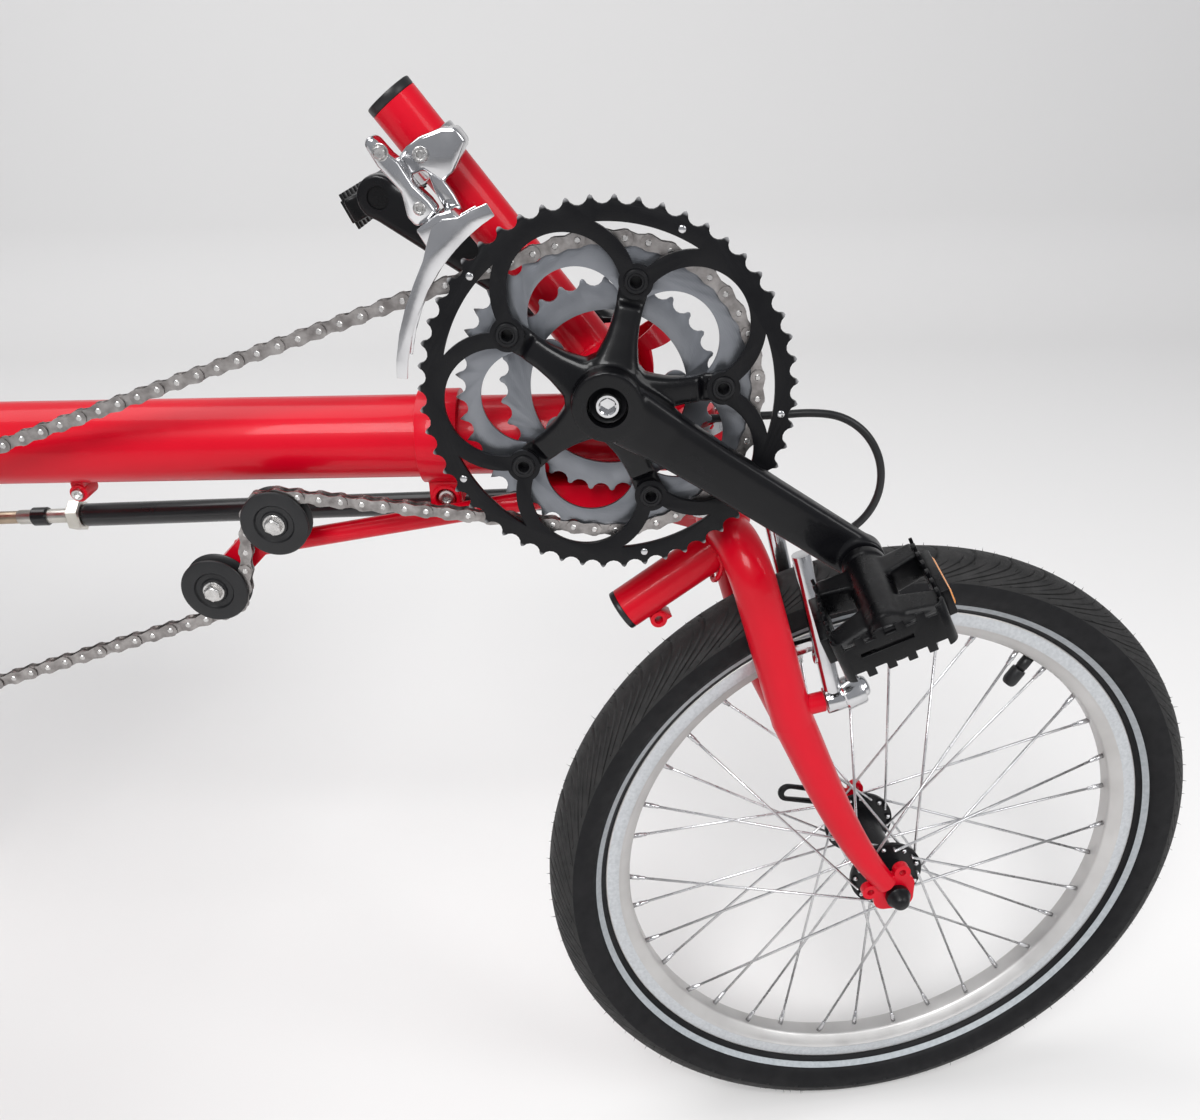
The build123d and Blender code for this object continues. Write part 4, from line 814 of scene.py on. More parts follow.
def saddle(start, heading, radius, target, target_heading, target_radius, count=72):
    # The closed curve where a tube from start along heading meets a larger tube's surface.
    heading, target_heading = Vector(heading).normalized(), Vector(target_heading).normalized()
    side = heading.orthogonal().normalized()
    other = heading.cross(side)
    points = []
    for i in range(count):
        angle = 2 * pi * i / count
        base = Vector(start) + side * (radius * cos(angle)) + other * (radius * sin(angle)) - Vector(target)
        flat_base = base - target_heading * base.dot(target_heading)
        flat_heading = heading - target_heading * heading.dot(target_heading)
        a = flat_heading.dot(flat_heading)
        b = flat_base.dot(flat_heading)
        c = flat_base.dot(flat_base) - target_radius ** 2
        root = b * b - a * c
        if root < 0:
            continue
        share = (-b + root ** 0.5) / a
        points.append(Vector(target) + base + heading * share)
    return points


def bead(builder, points, radius=0.0017, ripple=0.00035, sides=7):
    # A weld bead along a closed curve, with the ripples of its passes.
    count = len(points)
    corners = []
    for i in range(count):
        forward = (points[(i + 1) % count] - points[i - 1]).normalized()
        side = forward.orthogonal().normalized()
        other = forward.cross(side)
        size = radius + ripple * sin(i * 2.4)
        for k in range(sides):
            angle = 2 * pi * k / sides
            corners.append(points[i] + side * (size * cos(angle)) + other * (size * sin(angle)))
    faces = []
    for i in range(count):
        here, there = i * sides, (i + 1) % count * sides
        faces += [(here + k, here + (k + 1) % sides, there + (k + 1) % sides,
                   there + k) for k in range(sides)]
    builder.add(corners, faces)


def make_frame_welds():
    axle = Vector((0, 1, 0))
    shell_r = 0.020
    stub = BRACKET + POST_FORWARD * 0.027
    beam = BRACKET + Vector((0, 0, MAIN_TUBE_Z))
    head = Vector(JOINTS["steering"]["pos_m"])
    builder = Builder()
    bead(builder, saddle(BRACKET, POST_UP, POST_R, BRACKET, axle, shell_r))
    bead(builder, saddle(stub, POST_UP, POST_R, BRACKET, axle, shell_r))
    bead(builder, saddle(beam, (1, 0, 0), BOOM_R - 0.0062, head, STEER_AXIS, 0.018))
    return add_piece("frame_welds", builder.mesh("frame_welds"), (RED,), "frame")


def make_fork_welds():
    turn = steer_place()
    crown = near_bracket(0.0714, 0.0, -0.104)
    builder = Builder()
    slope = radians(32.6)
    stub_foot = near_bracket(0.0654, 0.0, -0.124)
    back = Vector((-cos(slope), 0.0, -sin(slope)))
    ring = saddle(stub_foot, back, 0.014, crown, STEER_AXIS, 0.017)
    bead(builder, [turn @ point for point in ring])
    return add_piece("fork_welds", builder.mesh("fork_welds"), (RED,), "fork")


# Solids made here

def solid(points, faces):
    shape = bmesh.new()
    corners = [shape.verts.new(Vector(point)) for point in points]
    for face in faces:
        shape.faces.new([corners[i] for i in face])
    bmesh.ops.recalc_face_normals(shape, faces=shape.faces)
    mesh = bpy.data.meshes.new("solid")
    shape.to_mesh(mesh)
    shape.free()
    piece = bpy.data.objects.new("solid", mesh)
    bpy.context.scene.collection.objects.link(piece)
    return piece


def circle(x, z, radius, sides=64):
    return [(x + radius * cos(2 * pi * i / sides),
             z + radius * sin(2 * pi * i / sides)) for i in range(sides)]


def prism(outline, low, high):
    # An outline in the X and Z plane, carried along Y.
    count = len(outline)
    points = [(x, low, z) for x, z in outline] + [(x, high, z) for x, z in outline]
    faces = [tuple(range(count)), tuple(range(count, 2 * count))]
    faces += [(i, (i + 1) % count, (i + 1) % count + count, i + count) for i in range(count)]
    return solid(points, faces)


def annulus(x, z, inner, outer, low, high, sides=96):
    rings = [circle(x, z, radius, sides) for radius in (inner, outer)]
    points = [(u, y, w) for ring in rings for y in (low, high) for u, w in ring]
    faces = []
    for i in range(sides):
        j = (i + 1) % sides
        for a, b in ((0, 1), (2, 3), (0, 2), (1, 3)):
            faces.append((a * sides + i, a * sides + j, b * sides + j, b * sides + i))
    return solid(points, faces)


def loft(sections):
    # Sections are lists of as many points each, joined in turn and closed at both ends.
    count = len(sections[0])
    points = [point for section in sections for point in section]
    faces = [tuple(range(count)), tuple(range(len(points) - count, len(points)))]
    for k in range(len(sections) - 1):
        for i in range(count):
            j = (i + 1) % count
            faces.append((k * count + i, k * count + j, (k + 1) * count + j, (k + 1) * count + i))
    return solid(points, faces)


def combined(first, others, operation="UNION"):
    for other in others:
        apply_modifier(first, "BOOLEAN", object=other, operation=operation, solver="EXACT")
        bpy.data.objects.remove(other)
    return first


def tidied(piece):
    shape = bmesh.new()
    shape.from_mesh(piece.data)
    bmesh.ops.remove_doubles(shape, verts=shape.verts, dist=2e-6)
    bmesh.ops.dissolve_limit(shape, angle_limit=radians(0.5), verts=shape.verts, edges=shape.edges)
    shape.to_mesh(piece.data)
    shape.free()
    return piece


def edge_rounded(piece, width, segments=2):
    tidied(piece)
    mesh = apply_modifier(piece, "BEVEL", width=width, segments=segments, limit_method="ANGLE",
                          angle_limit=radians(28.0))
    shade_smooth(mesh, 38.0)
    return piece


def joined(pieces):
    # Puts the meshes of all the pieces into the first, in their order.
    first = pieces[0]
    shape = bmesh.new()
    for piece in pieces:
        shape.from_mesh(piece.data)
    shape.to_mesh(first.data)
    shape.free()
    for piece in pieces[1:]:
        bpy.data.objects.remove(piece)
    return first


def moulded(pieces, voxel, passes):
    # Joins overlapping solids into one skin with soft inner corners, as a casting or a forging has.
    first = joined(pieces)
    apply_modifier(first, "REMESH", mode="VOXEL", voxel_size=voxel)
    shade_smooth(apply_modifier(first, "SMOOTH", factor=0.5, iterations=passes))
    return first


def finished(piece, name, material, body, hides, place):
    piece.name = name
    piece.data.name = name
    piece.data.materials.clear()
    piece.data.materials.append(material)
    piece.data.transform(place)
    return declare(piece, body, hides)


def polar(radius, degrees_round):
    return radius * cos(radians(degrees_round)), radius * sin(radians(degrees_round))


# Chainrings

def toothed_outline(teeth, gap_angle, root_depth=0.0027, gap_r=0.0056):
    # Round gaps for the chain's rollers, the first at the given angle, between narrow teeth.
    pitch_r = pitch_radius(teeth)
    step = 2 * pi / teeth
    centre_r = pitch_r - root_depth + gap_r
    outline = []
    for i in range(teeth):
        angle = gap_angle + i * step
        for turn in (-72.0, -48.0, -24.0, 0.0, 24.0, 48.0, 72.0):
            across = gap_r * sin(radians(turn))
            r = centre_r - gap_r * cos(radians(turn))
            outline.append((r * cos(angle) - across * sin(angle), r * sin(angle) + across * cos(angle)))
        outline.append(((pitch_r + 0.0021) * cos(angle + step / 2),
                        (pitch_r + 0.0021) * sin(angle + step / 2)))
    return outline


def five_places(radius, phase):
    return [polar(radius, phase + 72.0 * i) for i in range(5)]


def discs(places, radius, low, high, sides=64):
    return [prism(circle(x, z, radius, sides), low, high) for x, z in places]


def make_outer_ring():
    low, high = OUTER_RING_FACE_Y, OUTER_RING_BACK_Y
    below, above = low - CUT_MARGIN, high + CUT_MARGIN
    bolts = five_places(BOLT_CIRCLE_R, SPIDER_PHASE)
    ring = prism(toothed_outline(52, 0.0), low, high)
    combined(ring, [prism(circle(0, 0, 0.094, 180), below, above)], "DIFFERENCE")
    arches = [annulus(x, z, 0.0314, 0.0402, low, high) for x, z in five_places(0.0616, SPIDER_PHASE + 36.0)]
    web = combined(arches[0], arches[1:])
    combined(web, [prism(circle(0, 0, 0.0955, 180), below, above)], "INTERSECT")
    combined(web, [prism(circle(0, 0, 0.057, 120), below, above)], "DIFFERENCE")
    combined(ring, [web])
    combined(ring, discs(bolts, 0.0095, low, high))
    combined(ring, discs(bolts, BOLT_HOLE_R, below, above, 32), "DIFFERENCE")
    edge_rounded(ring, 0.00045)
    return finished(ring, "outer_ring_arched", RING_BLACK, "cranks", ("outer_chainring",),
                    Matrix.Translation(BRACKET))


def make_inner_rings():
    pins = [(x, z) for x, z in chain_pins() if abs(hypot(x, z) - pitch_radius(42)) < 0.0002]
    gap = atan2(pins[3][1], pins[3][0])
    low, high = CHAIN_Y - 0.001, CHAIN_Y + 0.001
    middle = prism(toothed_outline(42, gap, 0.0039, 0.0050), low, high)
    below, above = low - CUT_MARGIN, high + CUT_MARGIN
    cuts = [prism(circle(0, 0, 0.057, 120), below, above)]
    cuts += discs(five_places(0.046, SPIDER_PHASE + 36.0), 0.027, below, above, 72)
    cuts += discs(five_places(BOLT_CIRCLE_R, SPIDER_PHASE), BOLT_HOLE_R, below, above, 32)
    combined(middle, cuts, "DIFFERENCE")
    low, high = -0.039, -0.037
    below, above = low - CUT_MARGIN, high + CUT_MARGIN
    small = prism(toothed_outline(30, 0.0), low, high)
    combined(small, [prism(circle(0, 0, 0.045, 120), below, above)], "DIFFERENCE")
    combined(small, discs(five_places(0.0385, SPIDER_PHASE), 0.0078, low, high, 32))
    combined(small, discs(five_places(SMALL_BOLT_CIRCLE_R, SPIDER_PHASE), 0.0041, below, above, 32),
             "DIFFERENCE")
    for ring in (middle, small):
        edge_rounded(ring, 0.0003)
    rings = joined([middle, small])
    rings.data.set_sharp_from_angle(angle=radians(38.0))
    return finished(rings, "inner_rings_cut", RING_SILVER, "cranks", ("inner_chainrings",),
                    Matrix.Translation(BRACKET))


# Cranks, laid out with the arm along X and then turned to its angle

def rounded_section(x, low_y, high_y, half_width, power=4.0, count=28):
    # A section across the arm, between a square and an ellipse.
    middle, half = (low_y + high_y) / 2, (high_y - low_y) / 2
    points = []
    for i in range(count):
        angle = 2 * pi * i / count
        c, d = cos(angle), sin(angle)
        points.append((x, middle + half * abs(d) ** (2 / power) * (1 if d > 0 else -1),
                       half_width * abs(c) ** (2 / power) * (1 if c > 0 else -1)))
    return points


# Each row: place along the arm, outer face y, inner face y, half width
ARM_ROWS = ((0.0, 0.0742, 0.0500, 0.0185), (0.022, 0.0745, 0.0500, 0.0172), (0.040, 0.0750, 0.0585, 0.0152),
            (0.070, 0.0784, 0.0622, 0.0140), (0.110, 0.0823, 0.0668, 0.0136), (0.145, 0.0857, 0.0708, 0.0134),
            (0.170, 0.0880, 0.0748, 0.0135))
# Each row: distance from the axle, half width, outer face y, inner face y
SPIDER_ROWS = ((0.008, 0.0150, 0.0655, 0.046), (0.018, 0.0138, 0.0635, 0.046), (0.025, 0.0112, 0.0612, 0.046),
               (0.033, 0.0090, 0.0588, 0.046), (0.042, 0.0078, 0.0562, 0.046),
               (0.0505, 0.0076, 0.0541, 0.046), (0.0530, 0.0080, 0.0508, 0.046),
               (0.0545, 0.0082, 0.0504, 0.046), (0.068, 0.0084, 0.0504, 0.046),
               (0.0735, 0.0066, 0.0504, 0.046))


def make_crank(name, node, side):
    arm = [rounded_section(x, *sorted((side * inner, side * outer)), half, 5.0) for x, outer, inner,
           half in ARM_ROWS]
    pieces = [loft(arm), prism(circle(0, 0, 0.020), *sorted((side * 0.050, side * 0.0748))),
              prism(circle(CRANK_LENGTH, 0, 0.0137), *sorted((side * 0.0748, side * 0.0880)))]
    turn = Matrix.Rotation(-radians(CRANK_ANGLE if side < 0 else CRANK_ANGLE + 180.0), 4, "Y")
    for piece in pieces:
        piece.data.transform(turn)
    if side < 0:
        for i in range(5):
            rows = [rounded_section(r, *sorted((-outer, -inner)), half, 4.0) for r, half, outer,
                    inner in SPIDER_ROWS]
            spoke = loft(rows)
            spoke.data.transform(Matrix.Rotation(-radians(SPIDER_PHASE + 72.0 * i), 4, "Y"))
            pieces.append(spoke)
        pieces.append(prism(circle(0, 0, 0.0245), -0.0605, -0.046))
    crank = moulded(pieces, 0.0009, 12)
    eye = turn @ Vector((CRANK_LENGTH, 0, 0))
    cuts = [prism(circle(eye.x, eye.z, 0.0071, 40), -0.12, 0.12),
            prism(circle(0, 0, 0.0081, 40), -0.12, 0.12),
            prism(circle(0, 0, 0.0115, 56), *sorted((side * 0.066, side * 0.090)))]
    if side < 0:
        cuts += discs(five_places(BOLT_CIRCLE_R, SPIDER_PHASE), BOLT_HOLE_R, -0.056, -0.040, 32)
    combined(crank, cuts, "DIFFERENCE")
    crank.data.set_sharp_from_angle(angle=radians(50.0))
    return finished(crank, name, FORGED_BLACK, "cranks", (node,), Matrix.Translation(BRACKET))


def make_axle():
    # The axle, and in each crank's recess a black washer and a bolt with a hexagonal socket
    builder = Builder()
    shaft = ((0.0, -0.0662), (0.0080, -0.0662), (0.0080, 0.0662), (0.0, 0.0662))
    builder.add(*lathe(shaft, 32), kind=0, smooth=False, place=along(BRACKET, BRACKET + Vector((0, 1, 0))))
    washer = turned(((0.0110, 0.0), (0.0110, 0.0018), (0.0104, 0.0024), (0.0078, 0.0008),
                     (0.0075, 0.0006)), 48)
    head = turned(((0.0070, 0.0), (0.0070, 0.0056), (0.0063, 0.0063), (0.0050, 0.0063),
                   (0.0040, 0.0056, True), (0.0040, 0.0010, True)), 36)
    for side in (-1, 1):
        start = near_bracket(0, side * 0.0661, 0)
        place = along(start, start + Vector((0, side, 0)))
        builder.add(*washer, kind=1, place=place)
        builder.add(*head, kind=0, place=place)
    return add_piece("crank_axle_bolted", builder.mesh("crank_axle_bolted"), (POLISHED, BLACK_ALLOY),
                     "cranks", hides=("crank_axle",), sharp_angle=35.0)


def make_ring_bolts():
    # Hollow black bolts with a hexagonal socket through the rings, and the posts of the small ring
    builder = Builder()
    head = turned(((0.0050, -0.0090), (0.0050, 0.0), (0.0066, 0.0), (0.0066, 0.0009),
                   (0.0060, 0.0015), (0.0047, 0.0015), (0.0043, 0.0009), (0.0034, 0.0009),
                   (0.0030, 0.0004, True), (0.0030, -0.0060, True)), 36)
    nut = turned(((0.0066, 0.0), (0.0066, 0.0010), (0.0060, 0.0014), (0.0050, 0.0014)), 36)
    post = turned(((0.0040, 0.0), (0.0040, 0.0100), (0.0034, 0.0104)), 28)
    posts = five_places(SMALL_BOLT_CIRCLE_R, SPIDER_PHASE)
    for (x, z), (post_x, post_z) in zip(five_places(BOLT_CIRCLE_R, SPIDER_PHASE), posts):
        start = near_bracket(x, OUTER_RING_FACE_Y, z)
        builder.add(*head, place=along(start, start + Vector((0, -1, 0))))
        back = near_bracket(x, CHAIN_Y + 0.0011, z)
        builder.add(*nut, place=along(back, back + Vector((0, 1, 0))))
        foot = near_bracket(post_x, -0.0460, post_z)
        builder.add(*post, place=along(foot, foot + Vector((0, 1, 0))))
    return add_piece("ring_bolts_hollow", builder.mesh("ring_bolts_hollow"), (BLACK_ALLOY,), "cranks",
                     hides=("chainring_bolts",), sharp_angle=35.0)


# Pedals, laid out with the spindle along Y and the crank's eye as origin

def make_pedal(side):
    node = body_of(side)
    middle = PEDAL_MIDDLE_Y
    half_x, half_y, wall, corner = 0.0300, 0.0420, 0.0020, 0.006
    outline = rounded_outline(half_x, half_y, corner)
    inside = rounded_outline(half_x - wall, half_y - wall, corner - wall)
    cage = slab(outline, -0.012, 0.012, middle)
    combined(cage, [slab(inside, -0.013, 0.013, middle)], "DIFFERENCE")
    combined(cage, [block((0, middle - half_y + corner / 2 - 0.001, 0), (0.1, corner + 0.002, 0.05))],
             "DIFFERENCE")
    notches = []
    for edge in (-1, 1):
        for step in range(-3, 4):
            notches.append(block((0, middle + 0.0105 * step, edge * 0.012), (0.1, 0.0056, 0.0080)))
        for step in range(-2, 3):
            notches.append(block((0.0108 * step, middle + half_y, edge * 0.012), (0.0060, 0.012, 0.0084)))
    notches.append(block((0.004, middle + half_y, 0.0015), (0.028, 0.012, 0.0024)))
    combined(cage, notches, "DIFFERENCE")
    edge_rounded(cage, 0.0004)
    cage.data.set_sharp_from_angle(angle=radians(38.0))
    cast = [prism_y(0.0120, 0.092, 0.170), prism_y(0.0132, 0.092, 0.100), prism_y(0.0112, 0.155, 0.1812)]
    for lean in (-1, 1):
        for start, near in ((0.112, 0.107), (0.120, 0.111), (0.158, 0.170), (0.150, 0.166)):
            cast.append(strut((0.0, start, 0.0), (lean * 0.029, near, 0.0), 0.0062, 0.0078))
    for near in (0.107, 0.173):
        cast.append(block((0, near, 0), (0.058, 0.010, 0.013)))
    body = moulded(cast, 0.0009, 14)
    holder = [block((edge * 0.0325, middle, 0), (0.0052, 0.047, 0.0155)) for edge in (-1, 1)]
    for piece in holder:
        edge_rounded(piece, 0.0007)
    joined([cage, body, prism_y(0.007, 0.0762, 0.10, 32)] + holder)
    angle = radians(CRANK_ANGLE if side < 0 else CRANK_ANGLE + 180.0)
    eye = near_bracket(CRANK_LENGTH * cos(angle), 0, CRANK_LENGTH * sin(angle))
    place = Matrix.Translation(eye) @ Matrix.Rotation(-PEDAL_ANGLE, 4, "Y")
    if side < 0:
        place = place @ Matrix.Rotation(pi, 4, "Z")
    return finished(cage, node + "_cage", PEDAL_BLACK, node, (node,), place)


def body_of(side):
    return "right_pedal" if side < 0 else "left_pedal"


def rounded_outline(half_x, half_y, corner):
    outline = []
    for sx, sy, first in ((1, 1, 0), (-1, 1, 90), (-1, -1, 180), (1, -1, 270)):
        for i in range(7):
            angle = radians(first + 15.0 * i)
            outline.append((sx * (half_x - corner) + corner * cos(angle),
                            sy * (half_y - corner) + corner * sin(angle)))
    return outline


def slab(outline, low, high, middle):
    # An outline in the X and Y plane, carried along Z.
    piece = prism([(x, -y) for x, y in outline], low, high)
    piece.data.transform(Matrix.Translation((0, middle, 0)) @ Matrix.Rotation(pi / 2, 4, "X"))
    return piece


def block(centre, size):
    x, y, z = centre
    a, b, c = (length / 2 for length in size)
    return prism([(x - a, z - c), (x + a, z - c), (x + a, z + c), (x - a, z + c)], y - b, y + b)


def prism_y(radius, low, high, sides=48):
    return prism(circle(0, 0, radius, sides), low, high)


def strut(start, end, half_thick, half_high):
    # A straight bar in the X and Y plane
    start, end = Vector(start), Vector(end)
    side = (end - start).cross(Vector((0, 0, 1))).normalized() * half_thick
    up = Vector((0, 0, half_high))
    return loft([[place + side + up, place - side + up, place - side - up,
                  place + side - up] for place in (start, end)])


# Idlers

IDLER_PROFILE = ((0.0041, -0.0061), (0.0075, -0.0061), (0.0078, -0.0056), (0.0082, -0.0048),
                 (0.0112, -0.0048), (0.0118, -0.0054), (0.0122, -0.0061), (0.0185, -0.0061),
                 (0.0200, -0.0057), (0.0205, -0.0050), (0.0205, -0.0045), (0.0198, -0.0040),
                 (0.0160, -0.0030), (0.0132, -0.0026), (0.0128, -0.0018), (0.0128, 0.0018), (0.0132, 0.0026),
                 (0.0160, 0.0030), (0.0198, 0.0040), (0.0205, 0.0045), (0.0205, 0.0050), (0.0200, 0.0057),
                 (0.0185, 0.0061), (0.0041, 0.0061))


def make_idlers():
    builder = Builder()
    points, faces = lathe(IDLER_PROFILE, 72, closed=True)
    for x, z in (UPPER_IDLER, LOWER_IDLER):
        start = near_bracket(x, CHAIN_Y, z)
        builder.add(points, faces, place=along(start, start + Vector((0, 1, 0))))
    return add_piece("idler_wheels", builder.mesh("idler_wheels"), (PLASTIC,), "frame", hides=("idlers",),
                     sharp_angle=35.0)


# Front derailleur, as outlines in the X and Z plane from the bottom bracket

DERAILLEUR_PARTS = (
    # outline in millimetres, low y, high y, edge radius in millimetres
    (((-109.5, 121.8), (-103, 129.5), (-95.7, 134.1), (-84, 138.0), (-75.9, 138.4), (-70.9, 131.6),
      (-75, 123.5), (-79, 116.1), (-85.5, 110.8), (-95, 117.4), (-103.2, 114.3)), -31.0, -15.0, 2.0),
    (((-121.6, 131.8), (-119.5, 136.0), (-115.7, 135.2), (-109, 127.0), (-104.6, 123.4), (-98.3, 112),
      (-91.0, 104.5), (-87.5, 99.3), (-93.0, 93.5), (-99.4, 91.5), (-103.5, 96.4), (-104.3, 103),
      (-105.3, 109), (-110.5, 115.0), (-116.1, 121.5)), -46.0, -30.0, 2.0),
    (((-93.5, 118.4), (-85, 113), (-80.0, 105.5), (-76.3, 98), (-80.5, 94.8), (-85.5, 96.8),
      (-90.1, 106.8)), -31.0, -22.0, 1.4),
    (((-98.3, 90.8), (-86.8, 98.5), (-79.0, 100.5), (-74.0, 95.0), (-83.0, 88.0), (-93.5, 82.0)),
     -52.6, -29.0, 1.0),
)


def make_front_derailleur():
    scale = 0.001
    pieces = []
    for outline, low, high, edge in DERAILLEUR_PARTS:
        part = prism([(x * scale, z * scale) for x, z in outline], low * scale, high * scale)
        pieces.append(edge_rounded(part, edge * scale, 3))
    for y, outer in ((-0.0526, True), (-0.0380, False)):
        pieces.append(derailleur_plate(y, outer))
    centre = POST_UP * 0.154
    band = annulus(0, 0, POST_R + 0.0002, POST_R + 0.0034, -0.0078, 0.0078)
    edge_rounded(band, 0.0011, 3)
    band.data.transform(Matrix.Translation(centre) @ POST_UP.to_track_quat("Y", "Z").to_matrix().to_4x4())
    pieces.append(band)
    post = solid(*lathe(((POST_R + 0.0002, 0.0), (POST_R + 0.0002, 0.08)), 72))
    post.data.transform(along(POST_UP * 0.12, POST_UP * 0.2))
    combined(pieces[0], [post], "DIFFERENCE")
    first = joined(pieces)
    shade_smooth(first.data, 32.0)
    return finished(first, "front_derailleur_formed", POLISHED, "frame", ("front_derailleur",),
                    Matrix.Translation(BRACKET))


def derailleur_plate(y, outer):
    # A curved cage plate over the outer ring, with a wide head and a flat tail.
    inner_r = 0.1125
    # Each row: angle, width
    rows = ((120.0, 0.0075), (124.0, 0.0090), (128.0, 0.0105), (131.0, 0.0150), (134.0, 0.0165),
            (138.0, 0.0130), (142.0, 0.0098), (148.0, 0.0082), (155.0, 0.0075), (162.0, 0.0070),
            (169.0, 0.0066), (174.0, 0.0062))
    if not outer:
        rows = rows[1:-1]
    outline = [polar(inner_r, angle) for angle, width in rows]
    outline += [polar(inner_r + width, angle) for angle, width in reversed(rows)]
    part = prism(outline, y - 0.0008, y + 0.0008)
    return edge_rounded(part, 0.0005)


# Tie rod

ROD_FRONT_EYE = (0.0344, 0.0452, -0.1004)
ROD_RUN = (-0.640, 0.0, -0.012)


def make_tie_rod():
    front = near_bracket(*ROD_FRONT_EYE)
    rear = front + Vector(ROD_RUN)
    place = along(front, rear)
    length = Vector(ROD_RUN).length
    builder = Builder()
    thin = ((0.0, 0.008), (0.0044, 0.008), (0.0044, length - 0.008), (0.0, length - 0.008))
    tube = ((0.0, 0.0315), (0.0066, 0.0315), (0.0079, 0.0325), (0.0079, 0.3995), (0.0071, 0.4010),
            (0.0, 0.4010))
    stud = ((0.0, 0.4005), (0.0050, 0.4005), (0.0050, 0.4460), (0.0044, 0.4470), (0.0, 0.4470))
    collar = ((0.0, 0.4260), (0.0058, 0.4260), (0.0064, 0.4268), (0.0064, 0.4360), (0.0058, 0.4368),
              (0.0, 0.4368))
    builder.add(*lathe(thin, 24), kind=2, smooth=False, place=place)
    builder.add(*lathe(tube, 40), kind=0, place=place)
    builder.add(*lathe(stud, 24), kind=1, place=place)
    builder.add(*lathe(collar, 32), kind=0, place=place)
    builder.add(*hex_nut(0.0086, 0.0060), kind=1, smooth=False,
                place=along(front + (rear - front) * (0.0255 / length), rear))
    for centre in (front, rear):
        up = STEER_AXIS * 0.006
        eye = ((0.0052, 0.0), (0.0090, 0.0), (0.0100, 0.0012), (0.0100, 0.0108), (0.0090, 0.012),
               (0.0052, 0.012))
        builder.add(*lathe(eye, 40, closed=True), kind=1, place=along(centre - up, centre + up))
    add_piece("tie_rod_turned", builder.mesh("tie_rod_turned"), (BLACK_PAINT, ZINC, ROD_STEEL), "tie_rod",
              hides=("tie_rod",), sharp_angle=35.0)
    nut = Builder()
    nut.add(*hex_nut(0.0095, 0.0090), smooth=False,
            place=along(front + (rear - front) * (0.4014 / length), rear))
    return add_piece("rod_nut_cut", nut.mesh("rod_nut_cut"), (ZINC,), "tie_rod", hides=("rod_nut",))


def hex_nut(apothem, length):
    return turned(((apothem * 0.92, 0.0), (apothem, length * 0.09, True), (apothem, length * 0.91, True),
                   (apothem * 0.92, length)), 36)


# Quick releases

def make_quick_release(name, node, joint_name, body, half, lever_angle, steered):
    # The skewer, a domed nut on the right, and a looped lever on the left
    place = wheel_place(joint_name, steered)
    seat = half + 0.0062
    nut = ((0.0, 0.0), (0.0086, 0.0), (0.0090, 0.0010), (0.0090, 0.0048), (0.0080, 0.0060), (0.0074, 0.0078),
           (0.0056, 0.0114), (0.0036, 0.0130), (0.0, 0.0134))
    head = ((0.0, 0.0), (0.0086, 0.0), (0.0090, 0.0010), (0.0090, 0.0094), (0.0082, 0.0104), (0.0, 0.0104))
    skewer = prism(circle(0, 0, 0.0045, 24), -half - 0.007, half + 0.007)
    pieces = [solid(*lathe(nut, 40)), solid(*lathe(head, 40)), skewer]
    pieces[0].data.transform(along((0, -seat, 0), (0, -1, 0)))
    pieces[1].data.transform(along((0, seat, 0), (0, 1, 0)))
    low, high = seat + 0.0060, seat + 0.0104
    lever = prism(lever_outline(0.0, 0.052, 0.0078, 0.0076), low, high)
    combined(lever, [prism(lever_outline(0.024, 0.050, 0.0038, 0.0046), low - 0.001, high + 0.001)],
             "DIFFERENCE")
    edge_rounded(lever, 0.0011, 3)
    lever.data.transform(Matrix.Rotation(-radians(lever_angle), 4, "Y"))
    release = joined(pieces + [lever])
    shade_smooth(release.data, 35.0)
    return finished(release, name, BLACK_ALLOY, body, (node,), place)


def lever_outline(near, far, near_r, far_r):
    outline = [(near + near_r * cos(radians(90 + 20 * i)),
                near_r * sin(radians(90 + 20 * i))) for i in range(10)]
    return outline + [(far + far_r * cos(radians(-90 + 20 * i)),
                       far_r * sin(radians(-90 + 20 * i))) for i in range(10)]


# Brake pivots

def make_brake_pivots():
    # A spring housing with a domed cap in front of each brake arm's pivot
    builder = Builder()
    turn = steer_place()
    housing = ((0.0, 0.0), (0.0085, 0.0), (0.0085, 0.0040), (0.0104, 0.0044), (0.0112, 0.0054),
               (0.0112, 0.0170), (0.0104, 0.0184), (0.0076, 0.0190), (0.0072, 0.0206), (0.0058, 0.0222),
               (0.0030, 0.0230), (0.0, 0.0232))
    for side in (-1, 1):
        start = turn @ near_bracket(0.1400, side * 0.0435, -0.2165)
        place = along(start, start + (turn.to_3x3() @ Vector((1.0, 0.0, 0.42))))
        builder.add(*lathe(housing, 48), place=place)
    return add_piece("brake_pivots", builder.mesh("brake_pivots"), (POLISHED,), "fork",
                     sharp_angle=35.0)


# The lug under the fork's stub

def make_stub_lug():
    centre = Vector((0.0259, 0.0, -0.1649))
    lug = prism(circle(centre.x, centre.z, 0.0056, 40), -0.008, 0.008)
    neck = loft([[(-x, -y, z), (x, -y, z), (x, y, z), (-x, y, z)] for x, y, z in
                 ((0.005, 0.0055, 0.0), (0.007, 0.007, 0.006))])
    neck.data.transform(Matrix.Translation(centre) @ Matrix.Rotation(radians(32.6), 4, "Y"))
    combined(lug, [neck])
    combined(lug, [prism(circle(centre.x, centre.z, 0.0029, 28), -0.01, 0.01)], "DIFFERENCE")
    edge_rounded(lug, 0.0006)
    lug.data.set_sharp_from_angle(angle=radians(40.0))
    turn = steer_place() @ Matrix.Translation(BRACKET)
    return finished(lug, "fork_stub_lug", RED, "fork", (), turn)


# Brake cable housing, from the frame behind the rings round to the front brake

